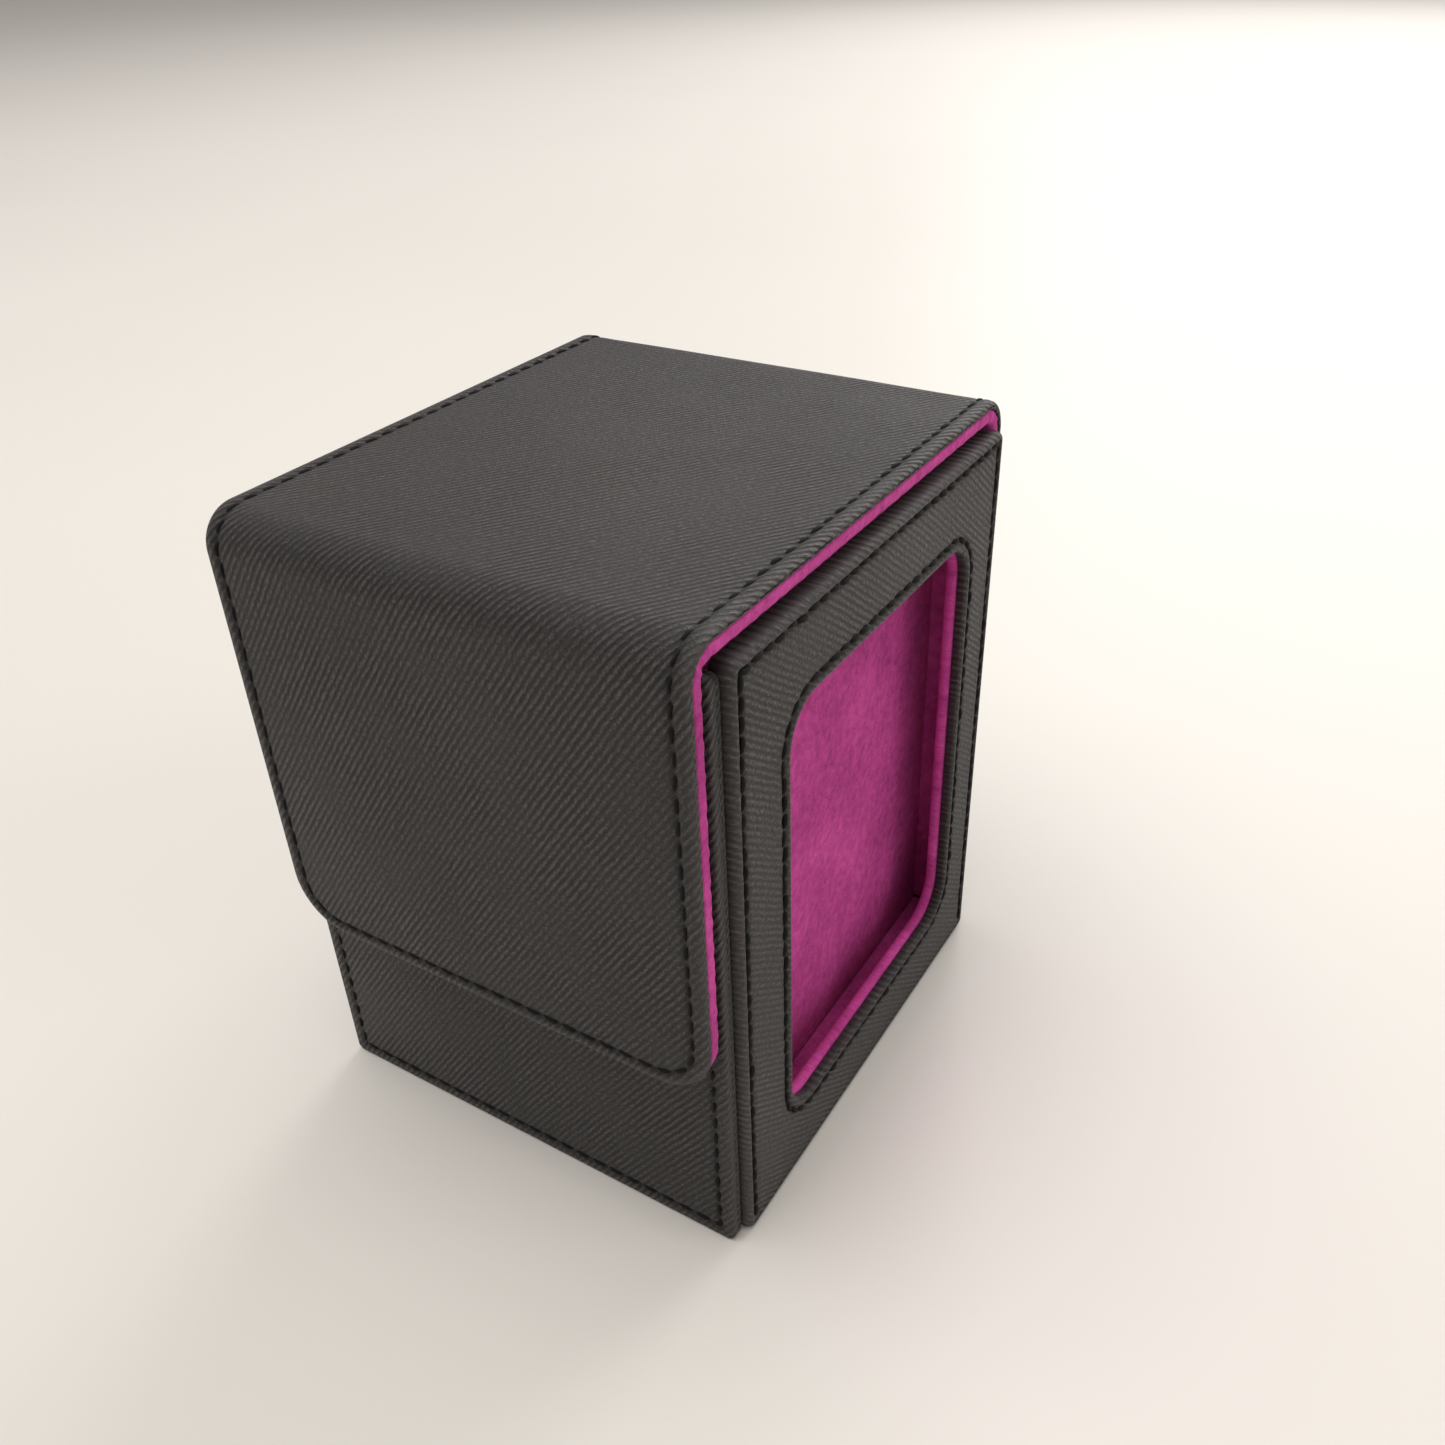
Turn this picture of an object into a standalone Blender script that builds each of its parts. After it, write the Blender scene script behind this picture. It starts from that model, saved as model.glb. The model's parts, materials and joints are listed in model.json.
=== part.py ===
"""A leatherette card deck box: a tray with a display window, and a cover that folds over its top and front.

Axes: +X is the window side, -Y the front under the flap, +Z up. Origin: middle of the footprint, on the table.
The cover is hinged along the back top edge. Its flap is hinged along the front top edge.
"""

import math

import bmesh
import bpy
from mathutils import Matrix, Vector

# Overall sizes, in metres.
BODY_WIDTH = 0.0784      # left wall face to window panel face
BODY_DEPTH = 0.0840      # front wall face to back wall face
HEIGHT = 0.1040          # table to lid top

# Sheet materials and the gap that keeps one sheet off the next.
GAP = 0.0003
LEATHER = 0.0008
SUEDE = 0.0007
BOARD = 0.0012           # grey board in the walls
COVER_BOARD = 0.0014     # grey board in the lid and the flap
BOTTOM_BOARD = 0.0016
DIVIDER_BOARD = 0.0014
HEM = 0.0014             # depth of the turned leather edge on the cover and the window panel
WALL_CORNER = 0.0010     # corner radius of the wall panels
PANEL_CORNER = 0.0016    # corner radius of the window panel

# Cover.
COVER_INSET_LEFT = 0.0015    # left wall face to the cover's edge
COVER_INSET_RIGHT = 0.0011   # window panel face to the cover's edge
FOLD_INNER_RADIUS = 0.0020
FOLD_SUEDE = 0.0014      # suede with its foam, where a fold has no board
FLAP_STANDOFF = 0.0009   # air between the closed flap and the front wall
FLAP_BOTTOM = 0.0347     # table to the flap's lower edge
FLAP_CORNER = 0.0090

# Window panel and the display slot behind it.
WINDOW_FRONT_MARGIN = 0.0134
WINDOW_BACK_MARGIN = 0.0112
WINDOW_SILL = 0.0126
WINDOW_HEAD = 0.0128
WINDOW_CORNER = 0.0065
SLOT_WIDTH = 0.0060
PANEL_BACK_INSET = 0.0018    # back wall face to the panel's back edge

# Magnets, in pairs: one pair in the flap, one in the front wall.
MAGNET_RADIUS = 0.0040
MAGNET_SPACING = 0.0400
MAGNET_RISE = 0.0100     # flap edge to magnet centre

# Seams. A thread lies in a shallow channel in the leather.
SEAM_INSET = 0.0024
WINDOW_SEAM_INSET = 0.0019
PANEL_SEAM_INSET = 0.0018
THREAD_WIDTH = 0.0005
THREAD_DEPTH = 0.0003

LEAST_CORNER = 0.0001
CORNER_STEPS = 6
FOLD_STEPS = 8
MAGNET_STEPS = 24
PAST = 0.0100            # how far a cutter runs past what it cuts

# Sizes that follow from those above.
WALL_SHELL = LEATHER + GAP + BOARD
WALL = WALL_SHELL + GAP + SUEDE
COVER = LEATHER + GAP + COVER_BOARD + GAP + SUEDE
FLOOR = LEATHER + GAP + BOTTOM_BOARD + GAP + SUEDE
DIVIDER = SUEDE + GAP + DIVIDER_BOARD + GAP + SUEDE
FOLD_RADIUS = FOLD_INNER_RADIUS + COVER            # outer radius of the soft folds
CHANNEL_DEPTH = THREAD_DEPTH + GAP
CHANNEL_WIDTH = THREAD_WIDTH + 2 * GAP

X_LEFT = -BODY_WIDTH / 2
X_RIGHT = BODY_WIDTH / 2
Y_FLAP = -(BODY_DEPTH + COVER + FLAP_STANDOFF) / 2
Y_FRONT = Y_FLAP + COVER + FLAP_STANDOFF
Y_BACK = Y_FRONT + BODY_DEPTH
X_FRONT_END = X_RIGHT - HEM - GAP                  # right end of the front wall
X_PANEL_IN = X_RIGHT - COVER                       # slot face of the window panel
X_SLOT = X_PANEL_IN - SLOT_WIDTH                   # slot face of the divider
X_DECK = X_SLOT - DIVIDER                          # deck face of the divider
Y_PANEL_FRONT = Y_FRONT + WALL_SHELL + GAP
Y_PANEL_BACK = Y_BACK - PANEL_BACK_INSET
RIM_HEIGHT = HEIGHT - FOLD_RADIUS - GAP            # table to the rim of the walls, under the folds
COVER_LEFT = X_LEFT + COVER_INSET_LEFT
COVER_RIGHT = X_RIGHT - COVER_INSET_RIGHT
Y_FLAP_FOLD = Y_FLAP + FOLD_RADIUS                 # axis of the flap fold's curve
Y_BACK_FOLD = Y_BACK - FOLD_RADIUS                 # axis of the back fold's curve
Z_FOLD = HEIGHT - FOLD_RADIUS
WINDOW_LOW = (Y_PANEL_FRONT + WINDOW_FRONT_MARGIN, WINDOW_SILL)
WINDOW_HIGH = (Y_PANEL_BACK - WINDOW_BACK_MARGIN, RIM_HEIGHT - WINDOW_HEAD)
PIVOT_INSET = FOLD_RADIUS * (1 - math.pi / 4)      # keeps the fold's length when it is bent straight

# Sheets lie in a plane. Each frame gives the directions of a sheet's width, height and depth.
FRONT_PLANE = ((1, 0, 0), (0, 0, 1), (0, 1, 0))
BACK_PLANE = ((1, 0, 0), (0, 0, 1), (0, -1, 0))
LEFT_PLANE = ((0, 1, 0), (0, 0, 1), (1, 0, 0))
RIGHT_PLANE = ((0, 1, 0), (0, 0, 1), (-1, 0, 0))
BOTTOM_PLANE = ((1, 0, 0), (0, 1, 0), (0, 0, 1))
TOP_PLANE = ((1, 0, 0), (0, 1, 0), (0, 0, -1))


def clear_scene():
    for obj in list(bpy.data.objects):
        bpy.data.objects.remove(obj, do_unlink=True)


def make_material(name, colour, roughness, metallic=0.0):
    material = bpy.data.materials.new(name)
    material.use_nodes = True
    shader = material.node_tree.nodes["Principled BSDF"]
    shader.inputs["Base Color"].default_value = (*colour, 1.0)
    shader.inputs["Roughness"].default_value = roughness
    shader.inputs["Metallic"].default_value = metallic
    return material


def make_materials():
    return {
        "leather": make_material("charcoal_leatherette", (0.055, 0.051, 0.049), 0.62),
        "suede": make_material("magenta_suede", (0.36, 0.030, 0.205), 0.95),
        "board": make_material("grey_board", (0.32, 0.30, 0.27), 0.90),
        "magnet": make_material("nickel_magnet", (0.62, 0.61, 0.58), 0.30, 1.0),
        "thread": make_material("black_thread", (0.012, 0.012, 0.013), 0.70),
    }


def make_object(name, mesh, material):
    obj = bpy.data.objects.new(name, mesh)
    obj.data.materials.append(material)
    bpy.context.scene.collection.objects.link(obj)
    return obj


def rounded_outline(low, high, radii):
    """The corner points of a rectangle with round corners, from the low corner, counter-clockwise."""
    corners = [(low[0], low[1]), (high[0], low[1]), (high[0], high[1]), (low[0], high[1])]
    inward = [(1, 1), (-1, 1), (-1, -1), (1, -1)]
    points = []
    for (corner, way, radius, start) in zip(corners, inward, radii, (180, 270, 0, 90)):
        if radius <= 0:
            points.append(corner)
            continue
        centre = (corner[0] + way[0] * radius, corner[1] + way[1] * radius)
        for step in range(CORNER_STEPS + 1):
            angle = math.radians(start + 90 * step / CORNER_STEPS)
            points.append((centre[0] + radius * math.cos(angle), centre[1] + radius * math.sin(angle)))
    return points


def sheet_matrix(plane, face):
    """Turns (width, height, depth) into world places, with depth 0 on the plane where the coordinate is face."""
    across, up, inward = (Vector(direction) for direction in plane)
    turn = Matrix((across, up, inward)).transposed().to_4x4()
    normal = Vector([abs(part) for part in inward])
    return Matrix.Translation(normal * face) @ turn


def prism_mesh(name, outline, near, far, matrix):
    """A closed outline carried from depth near to depth far."""
    build = bmesh.new()
    ring = [build.verts.new((u, v, near)) for u, v in outline]
    face = build.faces.new(ring)
    raised = bmesh.ops.extrude_face_region(build, geom=[face])
    moved = [item for item in raised["geom"] if isinstance(item, bmesh.types.BMVert)]
    bmesh.ops.translate(build, vec=(0, 0, far - near), verts=moved)
    bmesh.ops.transform(build, matrix=matrix, verts=build.verts)
    bmesh.ops.recalc_face_normals(build, faces=build.faces)
    mesh = bpy.data.meshes.new(name)
    build.to_mesh(mesh)
    build.free()
    return mesh


def sheet(name, material, plane, face, outline, near, far):
    """A flat piece of the given outline between two depths under a plane."""
    return make_object(name, prism_mesh(name, outline, near, far, sheet_matrix(plane, face)), material)


def cut_with(obj, mesh):
    """Takes the mesh, already in place, out of a piece."""
    cutter = bpy.data.objects.new(mesh.name, mesh)
    bpy.context.scene.collection.objects.link(cutter)
    cutter.hide_render = True
    cutter.display_type = "WIRE"
    difference = obj.modifiers.new(mesh.name, "BOOLEAN")
    difference.operation = "DIFFERENCE"
    difference.solver = "EXACT"
    difference.object = cutter


def cutter_name(obj):
    return obj.name + "_cut_" + str(len(obj.modifiers))


def cut(obj, plane, face, outline, near, far):
    """Takes a prism out of a piece."""
    cut_with(obj, prism_mesh(cutter_name(obj), outline, near, far, sheet_matrix(plane, face)))


def inset(low, high, amount, sides="lbrt"):
    """A rectangle pulled in on its named sides: left, bottom, right, top."""
    pull = [amount if side in sides else 0.0 for side in "lbrt"]
    return (low[0] + pull[0], low[1] + pull[1]), (high[0] - pull[2], high[1] - pull[3])


def run_past_inset(low, high, amount, sides):
    """A rectangle pulled in on its named sides, and run past the others."""
    pull = [amount if side in sides else -PAST for side in "lbrt"]
    return (low[0] + pull[0], low[1] + pull[1]), (high[0] - pull[2], high[1] - pull[3])


def smaller(radii, amount):
    """Corner radii after the outline is pulled in. A round corner stays round, however small."""
    return [max(radius - amount, LEAST_CORNER) if radius > 0 else 0.0 for radius in radii]


def disc_outline(u, v, radius):
    turns = [2 * math.pi * step / MAGNET_STEPS for step in range(MAGNET_STEPS)]
    return [(u + radius * math.cos(turn), v + radius * math.sin(turn)) for turn in turns]


def tray(name, material, plane, face, low, high, radii, wall, skin, rim, floor):
    """A sheet whose four edges are turned over. Depths: its skin, its rim, and the floor of its pocket."""
    outer = rounded_outline(low, high, radii)
    hollow = rounded_outline(*inset(low, high, wall), smaller(radii, wall))
    loops = ((outer, skin), (outer, rim), (hollow, rim), (hollow, floor))
    return make_object(name, loops_mesh(name, loops, sheet_matrix(plane, face), capped=True), material)


def open_tray(name, material, plane, face, low, high, radii, wall, near, far, pocket, sides):
    """A sheet turned over on the named sides only, with its pocket between the two pocket depths."""
    shell = sheet(name, material, plane, face, rounded_outline(low, high, radii), near, far)
    pocket_low, pocket_high = run_past_inset(low, high, wall, sides)
    hollow = rounded_outline(pocket_low, pocket_high, smaller(radii, wall))
    cut(shell, plane, face, hollow, *pocket)
    return shell


def wrapped_wall(part, kit, plane, face, low, high, radii):
    """A wall: leather turned over the four edges of a grey board."""
    leather = tray(
        part + "_leather", kit["leather"], plane, face, low, high, radii,
        LEATHER, 0.0, WALL_SHELL, LEATHER,
    )
    edge = LEATHER + GAP
    board_low, board_high = inset(low, high, edge)
    board = sheet(
        part + "_board", kit["board"], plane, face,
        rounded_outline(board_low, board_high, smaller(radii, edge)), edge, WALL_SHELL,
    )
    return leather, board


def seam(leather, thread_name, kit, plane, face, outer, inner):
    """A thread between two outlines of one seam line, lying in its channel in the leather.

    outer and inner give the outline at a distance either side of the seam line.
    """
    half = THREAD_WIDTH / 2
    channel = CHANNEL_WIDTH / 2
    cut(leather, plane, face, outer(channel, GAP) + inner(channel, GAP), -PAST, CHANNEL_DEPTH)
    sheet(thread_name, kit["thread"], plane, face, outer(half, 0.0) + inner(half, 0.0), 0.0, THREAD_DEPTH)


def u_seam(leather, thread_name, kit, plane, face, low, high, radius, upside_down=False):
    """A seam along the two sides and one end of a rectangle, open at the other end."""

    def path(grow, run_past):
        reach = (low[0] - grow, low[1] - grow), (high[0] + grow, high[1] + run_past)
        points = rounded_outline(*reach, (radius + grow, radius + grow, 0, 0))
        turned = points[-1:] + points[:-1]
        if upside_down:
            turned = [(u, low[1] + high[1] - v) for u, v in turned]
        return turned

    seam(
        leather, thread_name, kit, plane, face,
        lambda half, past: path(half, past),
        lambda half, past: path(-half, past)[::-1],
    )


def straight_seam(leather, thread_name, kit, plane, face, u, low, high):
    """A seam along one straight line."""
    seam(
        leather, thread_name, kit, plane, face,
        lambda half, past: [(u - half, high + past), (u - half, low - past)],
        lambda half, past: [(u + half, low - past), (u + half, high + past)],
    )


def ring_seam(leather, thread_name, kit, plane, face, low, high, radius):
    """A seam that runs all the way round."""

    def outline(grow):
        return rounded_outline(
            (low[0] - grow, low[1] - grow), (high[0] + grow, high[1] + grow), [radius + grow] * 4
        )

    channel = CHANNEL_WIDTH / 2
    matrix = sheet_matrix(plane, face)
    groove = ring_mesh(
        cutter_name(leather), outline(channel), outline(-channel), -PAST, CHANNEL_DEPTH, matrix
    )
    cut_with(leather, groove)
    half = THREAD_WIDTH / 2
    mesh = ring_mesh(thread_name, outline(half), outline(-half), 0.0, THREAD_DEPTH, matrix)
    make_object(thread_name, mesh, kit["thread"])


def loops_mesh(name, loops, matrix, capped=False):
    """A skin through outlines that have as many points each, given as (outline, depth).

    It is capped on its first and last outline, or else closed from the last back to the first.
    """
    build = bmesh.new()
    rings = [[build.verts.new((u, v, depth)) for u, v in outline] for outline, depth in loops]
    pairs = list(zip(rings, rings[1:]))
    if capped:
        build.faces.new(rings[0])
        build.faces.new(rings[-1])
    else:
        pairs.append((rings[-1], rings[0]))
    for here, beyond in pairs:
        count = len(here)
        for i in range(count):
            after = (i + 1) % count
            build.faces.new((here[i], here[after], beyond[after], beyond[i]))
    bmesh.ops.transform(build, matrix=matrix, verts=build.verts)
    bmesh.ops.recalc_face_normals(build, faces=build.faces)
    mesh = bpy.data.meshes.new(name)
    build.to_mesh(mesh)
    build.free()
    return mesh


def ring_mesh(name, outer, inner, near, far, matrix):
    """A closed ring between two outlines, from depth near to depth far."""
    return loops_mesh(name, ((outer, near), (outer, far), (inner, far), (inner, near)), matrix)


def magnet_places():
    middle = (COVER_LEFT + COVER_RIGHT) / 2
    return (("left", middle - MAGNET_SPACING / 2), ("right", middle + MAGNET_SPACING / 2))


def add_magnets(part, kit, plane, face, board, height, near, far):
    """A pair of disc magnets let into a board, each in a hole with clearance all round."""
    pieces = []
    for side, x in magnet_places():
        cut(board, plane, face, disc_outline(x, height, MAGNET_RADIUS + GAP), near - PAST, far + PAST)
        disc = sheet(
            f"{part}_magnet_{side}", kit["magnet"], plane, face,
            disc_outline(x, height, MAGNET_RADIUS), near, far,
        )
        disc.data.shade_smooth()
        disc.data.set_sharp_from_angle(angle=math.radians(40))
        pieces.append(disc)
    return pieces


def lining(name, kit, plane, face, low, high, near, far):
    """A flat piece of suede inside a wall."""
    return sheet(name, kit["suede"], plane, face, rounded_outline(low, high, (0, 0, 0, 0)), near, far)


def make_front_wall(kit):
    """The front wall runs the whole width, and its right end shows beside the window panel."""
    low = (X_LEFT, 0.0)
    high = (X_FRONT_END, RIM_HEIGHT)
    leather, board = wrapped_wall("front", kit, FRONT_PLANE, Y_FRONT, low, high, [WALL_CORNER] * 4)
    height = FLAP_BOTTOM + MAGNET_RISE
    add_magnets("front", kit, FRONT_PLANE, Y_FRONT, board, height, LEATHER + GAP, WALL_SHELL)
    seam_low, seam_high = inset(low, high, SEAM_INSET)
    ring_seam(leather, "front_thread", kit, FRONT_PLANE, Y_FRONT, seam_low, seam_high, WALL_CORNER)
    lining(
        "front_lining", kit, FRONT_PLANE, Y_FRONT,
        (X_LEFT + WALL_SHELL + GAP, FLOOR + GAP), (X_PANEL_IN - GAP, RIM_HEIGHT - GAP),
        WALL_SHELL + GAP, WALL,
    )


def make_left_wall(kit):
    """The left wall stands between the front wall and the back wall."""
    low = (Y_FRONT + WALL_SHELL + GAP, 0.0)
    high = (Y_BACK - WALL_SHELL - GAP, RIM_HEIGHT)
    leather, _ = wrapped_wall("left", kit, LEFT_PLANE, X_LEFT, low, high, [WALL_CORNER] * 4)
    seam_low, seam_high = inset(low, high, SEAM_INSET)
    ring_seam(leather, "left_thread", kit, LEFT_PLANE, X_LEFT, seam_low, seam_high, WALL_CORNER)
    lining(
        "left_lining", kit, LEFT_PLANE, X_LEFT,
        (Y_FRONT + WALL + GAP, FLOOR + GAP), (Y_BACK - WALL - GAP, RIM_HEIGHT - GAP),
        WALL_SHELL + GAP, WALL,
    )


def make_back_wall(kit):
    """The back wall: the cover's leather comes down over it from the fold."""
    low = (X_LEFT, 0.0)
    high = (X_PANEL_IN - GAP, RIM_HEIGHT)
    leather, _ = wrapped_wall("back", kit, BACK_PLANE, Y_BACK, low, high, [WALL_CORNER] * 4)
    seam_low, seam_high = inset(low, high, SEAM_INSET)
    u_seam(leather, "back_thread", kit, BACK_PLANE, Y_BACK, seam_low, seam_high, WALL_CORNER)
    lining(
        "back_lining", kit, BACK_PLANE, Y_BACK,
        (X_LEFT + WALL_SHELL + GAP, FLOOR + GAP), (X_PANEL_IN - GAP, RIM_HEIGHT),
        WALL_SHELL + GAP, WALL,
    )


def make_bottom(kit):
    """The bottom: leather turned over a board, with a suede floor in the deck space and in the slot."""
    low = (X_LEFT + WALL_SHELL + GAP, Y_FRONT + WALL_SHELL + GAP)
    high = (X_PANEL_IN - GAP, Y_BACK - WALL_SHELL - GAP)
    shell = LEATHER + GAP + BOTTOM_BOARD
    tray(
        "bottom_leather", kit["leather"], BOTTOM_PLANE, 0.0, low, high, [WALL_CORNER] * 4,
        LEATHER, 0.0, shell, LEATHER,
    )
    board_low, board_high = inset(low, high, LEATHER + GAP)
    outline = rounded_outline(board_low, board_high, (0, 0, 0, 0))
    sheet("bottom_board", kit["board"], BOTTOM_PLANE, 0.0, outline, LEATHER + GAP, shell)
    front = Y_FRONT + WALL + GAP
    back = Y_BACK - WALL - GAP
    lining(
        "deck_floor_lining", kit, BOTTOM_PLANE, 0.0,
        (X_LEFT + WALL + GAP, front), (X_DECK - GAP, back), shell + GAP, FLOOR,
    )
    lining(
        "slot_floor_lining", kit, BOTTOM_PLANE, 0.0,
        (X_SLOT + GAP, front), (X_PANEL_IN - GAP, back), shell + GAP, FLOOR,
    )


def make_divider(kit):
    """The inner side wall between the cards and the display slot, with suede on both sides."""
    front = Y_FRONT + WALL + GAP
    back = Y_BACK - WALL - GAP
    low = (front, LEATHER + 2 * GAP + BOTTOM_BOARD)
    high = (back, RIM_HEIGHT - GAP)
    layers = (
        ("divider_lining_slot", "suede", SUEDE),
        ("divider_board", "board", DIVIDER_BOARD),
        ("divider_lining_deck", "suede", SUEDE),
    )
    depth = 0.0
    for name, slot, thickness in layers:
        outline = rounded_outline(low, high, (0, 0, 0, 0))
        sheet(name, kit[slot], RIGHT_PLANE, X_SLOT, outline, depth, depth + thickness)
        depth += thickness + GAP


def window_outline(grow):
    return rounded_outline(*inset(WINDOW_LOW, WINDOW_HIGH, -grow), [WINDOW_CORNER + grow] * 4)


def framed_tray(name, material, low, high, wall, skin, rim, floor):
    """A framed sheet turned over at its outer edge and round the window."""
    outer = rounded_outline(low, high, [PANEL_CORNER] * 4)
    hollow = rounded_outline(*inset(low, high, wall), smaller([PANEL_CORNER] * 4, wall))
    round_window = window_outline(wall)
    window = window_outline(0.0)
    loops = (
        (outer, skin), (outer, rim), (hollow, rim), (hollow, floor),
        (round_window, floor), (round_window, rim), (window, rim), (window, skin),
    )
    return make_object(name, loops_mesh(name, loops, sheet_matrix(RIGHT_PLANE, X_RIGHT)), material)


def make_window_panel(kit):
    """The display side: a framed opening, leather outside and suede towards the slot, on one board."""
    low = (Y_PANEL_FRONT, 0.0)
    high = (Y_PANEL_BACK, RIM_HEIGHT)
    outline = rounded_outline(low, high, [PANEL_CORNER] * 4)
    leather = sheet("panel_leather", kit["leather"], RIGHT_PLANE, X_RIGHT, outline, 0.0, HEM)
    cut(leather, RIGHT_PLANE, X_RIGHT, window_outline(0.0), -PAST, HEM + PAST)
    hollow = rounded_outline(*inset(low, high, LEATHER), smaller([PANEL_CORNER] * 4, LEATHER))
    matrix = sheet_matrix(RIGHT_PLANE, X_RIGHT)
    pocket = ring_mesh(cutter_name(leather), hollow, window_outline(LEATHER), LEATHER, HEM + PAST, matrix)
    cut_with(leather, pocket)
    framed_tray("panel_lining", kit["suede"], low, high, SUEDE, COVER, HEM + GAP, COVER - SUEDE)
    edge = LEATHER + GAP
    board_low, board_high = inset(low, high, edge)
    outer = rounded_outline(board_low, board_high, smaller([PANEL_CORNER] * 4, edge))
    mesh = ring_mesh("panel_board", outer, window_outline(edge), edge, COVER - SUEDE - GAP, matrix)
    make_object("panel_board", mesh, kit["board"])
    seam_low, seam_high = inset(low, high, PANEL_SEAM_INSET)
    u_seam(
        leather, "panel_thread", kit, RIGHT_PLANE, X_RIGHT, seam_low, seam_high, PANEL_CORNER, upside_down=True
    )
    seam_low, seam_high = inset(WINDOW_LOW, WINDOW_HIGH, -WINDOW_SEAM_INSET)
    radius = WINDOW_CORNER + WINDOW_SEAM_INSET
    ring_seam(leather, "window_thread", kit, RIGHT_PLANE, X_RIGHT, seam_low, seam_high, radius)


def cover_panel(part, kit, plane, face, low, high, radii, hems):
    """A stiff panel of the cover: leather outside, board, suede inside, turned over on the named edges."""
    leather = open_tray(
        part + "_leather", kit["leather"], plane, face, low, high, radii,
        LEATHER, 0.0, HEM, (LEATHER, HEM + PAST), hems,
    )
    open_tray(
        part + "_lining", kit["suede"], plane, face, low, high, radii,
        SUEDE, HEM + GAP, COVER, (HEM + GAP - PAST, COVER - SUEDE), hems,
    )
    edge = LEATHER + GAP
    board_low, board_high = inset(low, high, edge, hems)
    outline = rounded_outline(board_low, board_high, smaller(radii, edge))
    board = sheet(part + "_board", kit["board"], plane, face, outline, edge, edge + COVER_BOARD)
    return leather, board


def make_lid(kit):
    """The stiff top of the cover, between the two folds."""
    low = (COVER_LEFT, Y_FLAP_FOLD + GAP / 2)
    high = (COVER_RIGHT, Y_BACK_FOLD - GAP / 2)
    leather, _ = cover_panel("lid", kit, TOP_PLANE, HEIGHT, low, high, (0, 0, 0, 0), "lr")
    for side, u in (("left", COVER_LEFT + SEAM_INSET), ("right", COVER_RIGHT - SEAM_INSET)):
        straight_seam(leather, "lid_thread_" + side, kit, TOP_PLANE, HEIGHT, u, low[1], high[1])


def make_flap(kit):
    """The stiff front flap, with round lower corners and a pair of magnets."""
    low = (COVER_LEFT, FLAP_BOTTOM)
    high = (COVER_RIGHT, Z_FOLD - GAP / 2)
    radii = (FLAP_CORNER, FLAP_CORNER, 0, 0)
    leather, board = cover_panel("flap", kit, FRONT_PLANE, Y_FLAP, low, high, radii, "lbr")
    near = LEATHER + GAP
    height = FLAP_BOTTOM + MAGNET_RISE
    add_magnets("flap", kit, FRONT_PLANE, Y_FLAP, board, height, near, near + COVER_BOARD)
    seam_low = (low[0] + SEAM_INSET, low[1] + SEAM_INSET)
    seam_high = (high[0] - SEAM_INSET, high[1])
    radius = FLAP_CORNER - SEAM_INSET
    u_seam(leather, "flap_thread", kit, FRONT_PLANE, Y_FLAP, seam_low, seam_high, radius)


def fold_outline(y, way, inner, outer):
    """A quarter ring in the YZ plane round a fold's curve axis. way is -1 at the front and 1 at the back."""
    turns = [math.radians(90 * step / FOLD_STEPS) for step in range(FOLD_STEPS + 1)]
    arcs = [(outer, turn) for turn in turns] + [(inner, turn) for turn in reversed(turns)]
    return [(y + way * radius * math.cos(turn), Z_FOLD + radius * math.sin(turn)) for radius, turn in arcs]


def make_fold(part, kit, y, way):
    """A soft fold between two stiff panels: leather outside, suede inside, and no board."""
    for slot, name, inner, outer in (
        ("leather", part + "_leather", FOLD_RADIUS - LEATHER, FOLD_RADIUS),
        ("suede", part + "_lining", FOLD_RADIUS - COVER, FOLD_RADIUS - COVER + FOLD_SUEDE),
    ):
        outline = fold_outline(y, way, inner, outer)
        fold = sheet(name, kit[slot], LEFT_PLANE, 0.0, outline, COVER_LEFT, COVER_RIGHT)
        fold.data.shade_smooth()
        fold.data.set_sharp_from_angle(angle=math.radians(40))


def add_pivot(name, y, node_prefixes):
    """An empty on a fold's pivot line. The pieces that turn with it become its children and stay in place."""
    pivot = bpy.data.objects.new(name, None)
    pivot.location = ((COVER_LEFT + COVER_RIGHT) / 2, y, HEIGHT - PIVOT_INSET)
    bpy.context.scene.collection.objects.link(pivot)
    bpy.context.view_layer.update()
    for obj in list(bpy.data.objects):
        if obj.type == "MESH" and obj.name.startswith(node_prefixes):
            obj.parent = pivot
            obj.matrix_parent_inverse = pivot.matrix_world.inverted()
    return pivot


def main():
    clear_scene()
    kit = make_materials()
    make_front_wall(kit)
    make_left_wall(kit)
    make_back_wall(kit)
    make_bottom(kit)
    make_divider(kit)
    make_window_panel(kit)
    make_lid(kit)
    make_flap(kit)
    make_fold("hinge_fold", kit, Y_BACK_FOLD, 1)
    make_fold("flap_fold", kit, Y_FLAP_FOLD, -1)
    lid_pivot = add_pivot("lid_pivot", Y_BACK - PIVOT_INSET, ("lid_", "flap_fold"))
    flap_nodes = ("flap_leather", "flap_lining", "flap_board", "flap_magnet", "flap_thread")
    flap_pivot = add_pivot("flap_pivot", Y_FLAP + PIVOT_INSET, flap_nodes)
    flap_pivot.parent = lid_pivot
    flap_pivot.matrix_parent_inverse = lid_pivot.matrix_world.inverted()
    bpy.context.view_layer.update()


main()
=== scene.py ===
# %% [markdown]
# # A card deck box in ribbed leatherette, lined with magenta suede
#
# The box is sewn and glued from flat sheets. Leatherette is turned over grey board to make stiff walls. One long
# sheet of it makes the cover: down the back, over the top, and down the front as a flap. Soft suede lines the inside.
#
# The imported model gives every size. This lesson makes the surfaces that are seen: the turned edges, the seams with
# their separate stitches, the soft folds and the two materials.

import json
import math

import bmesh
import bpy
import numpy as np
from mathutils import Matrix, Vector


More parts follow.
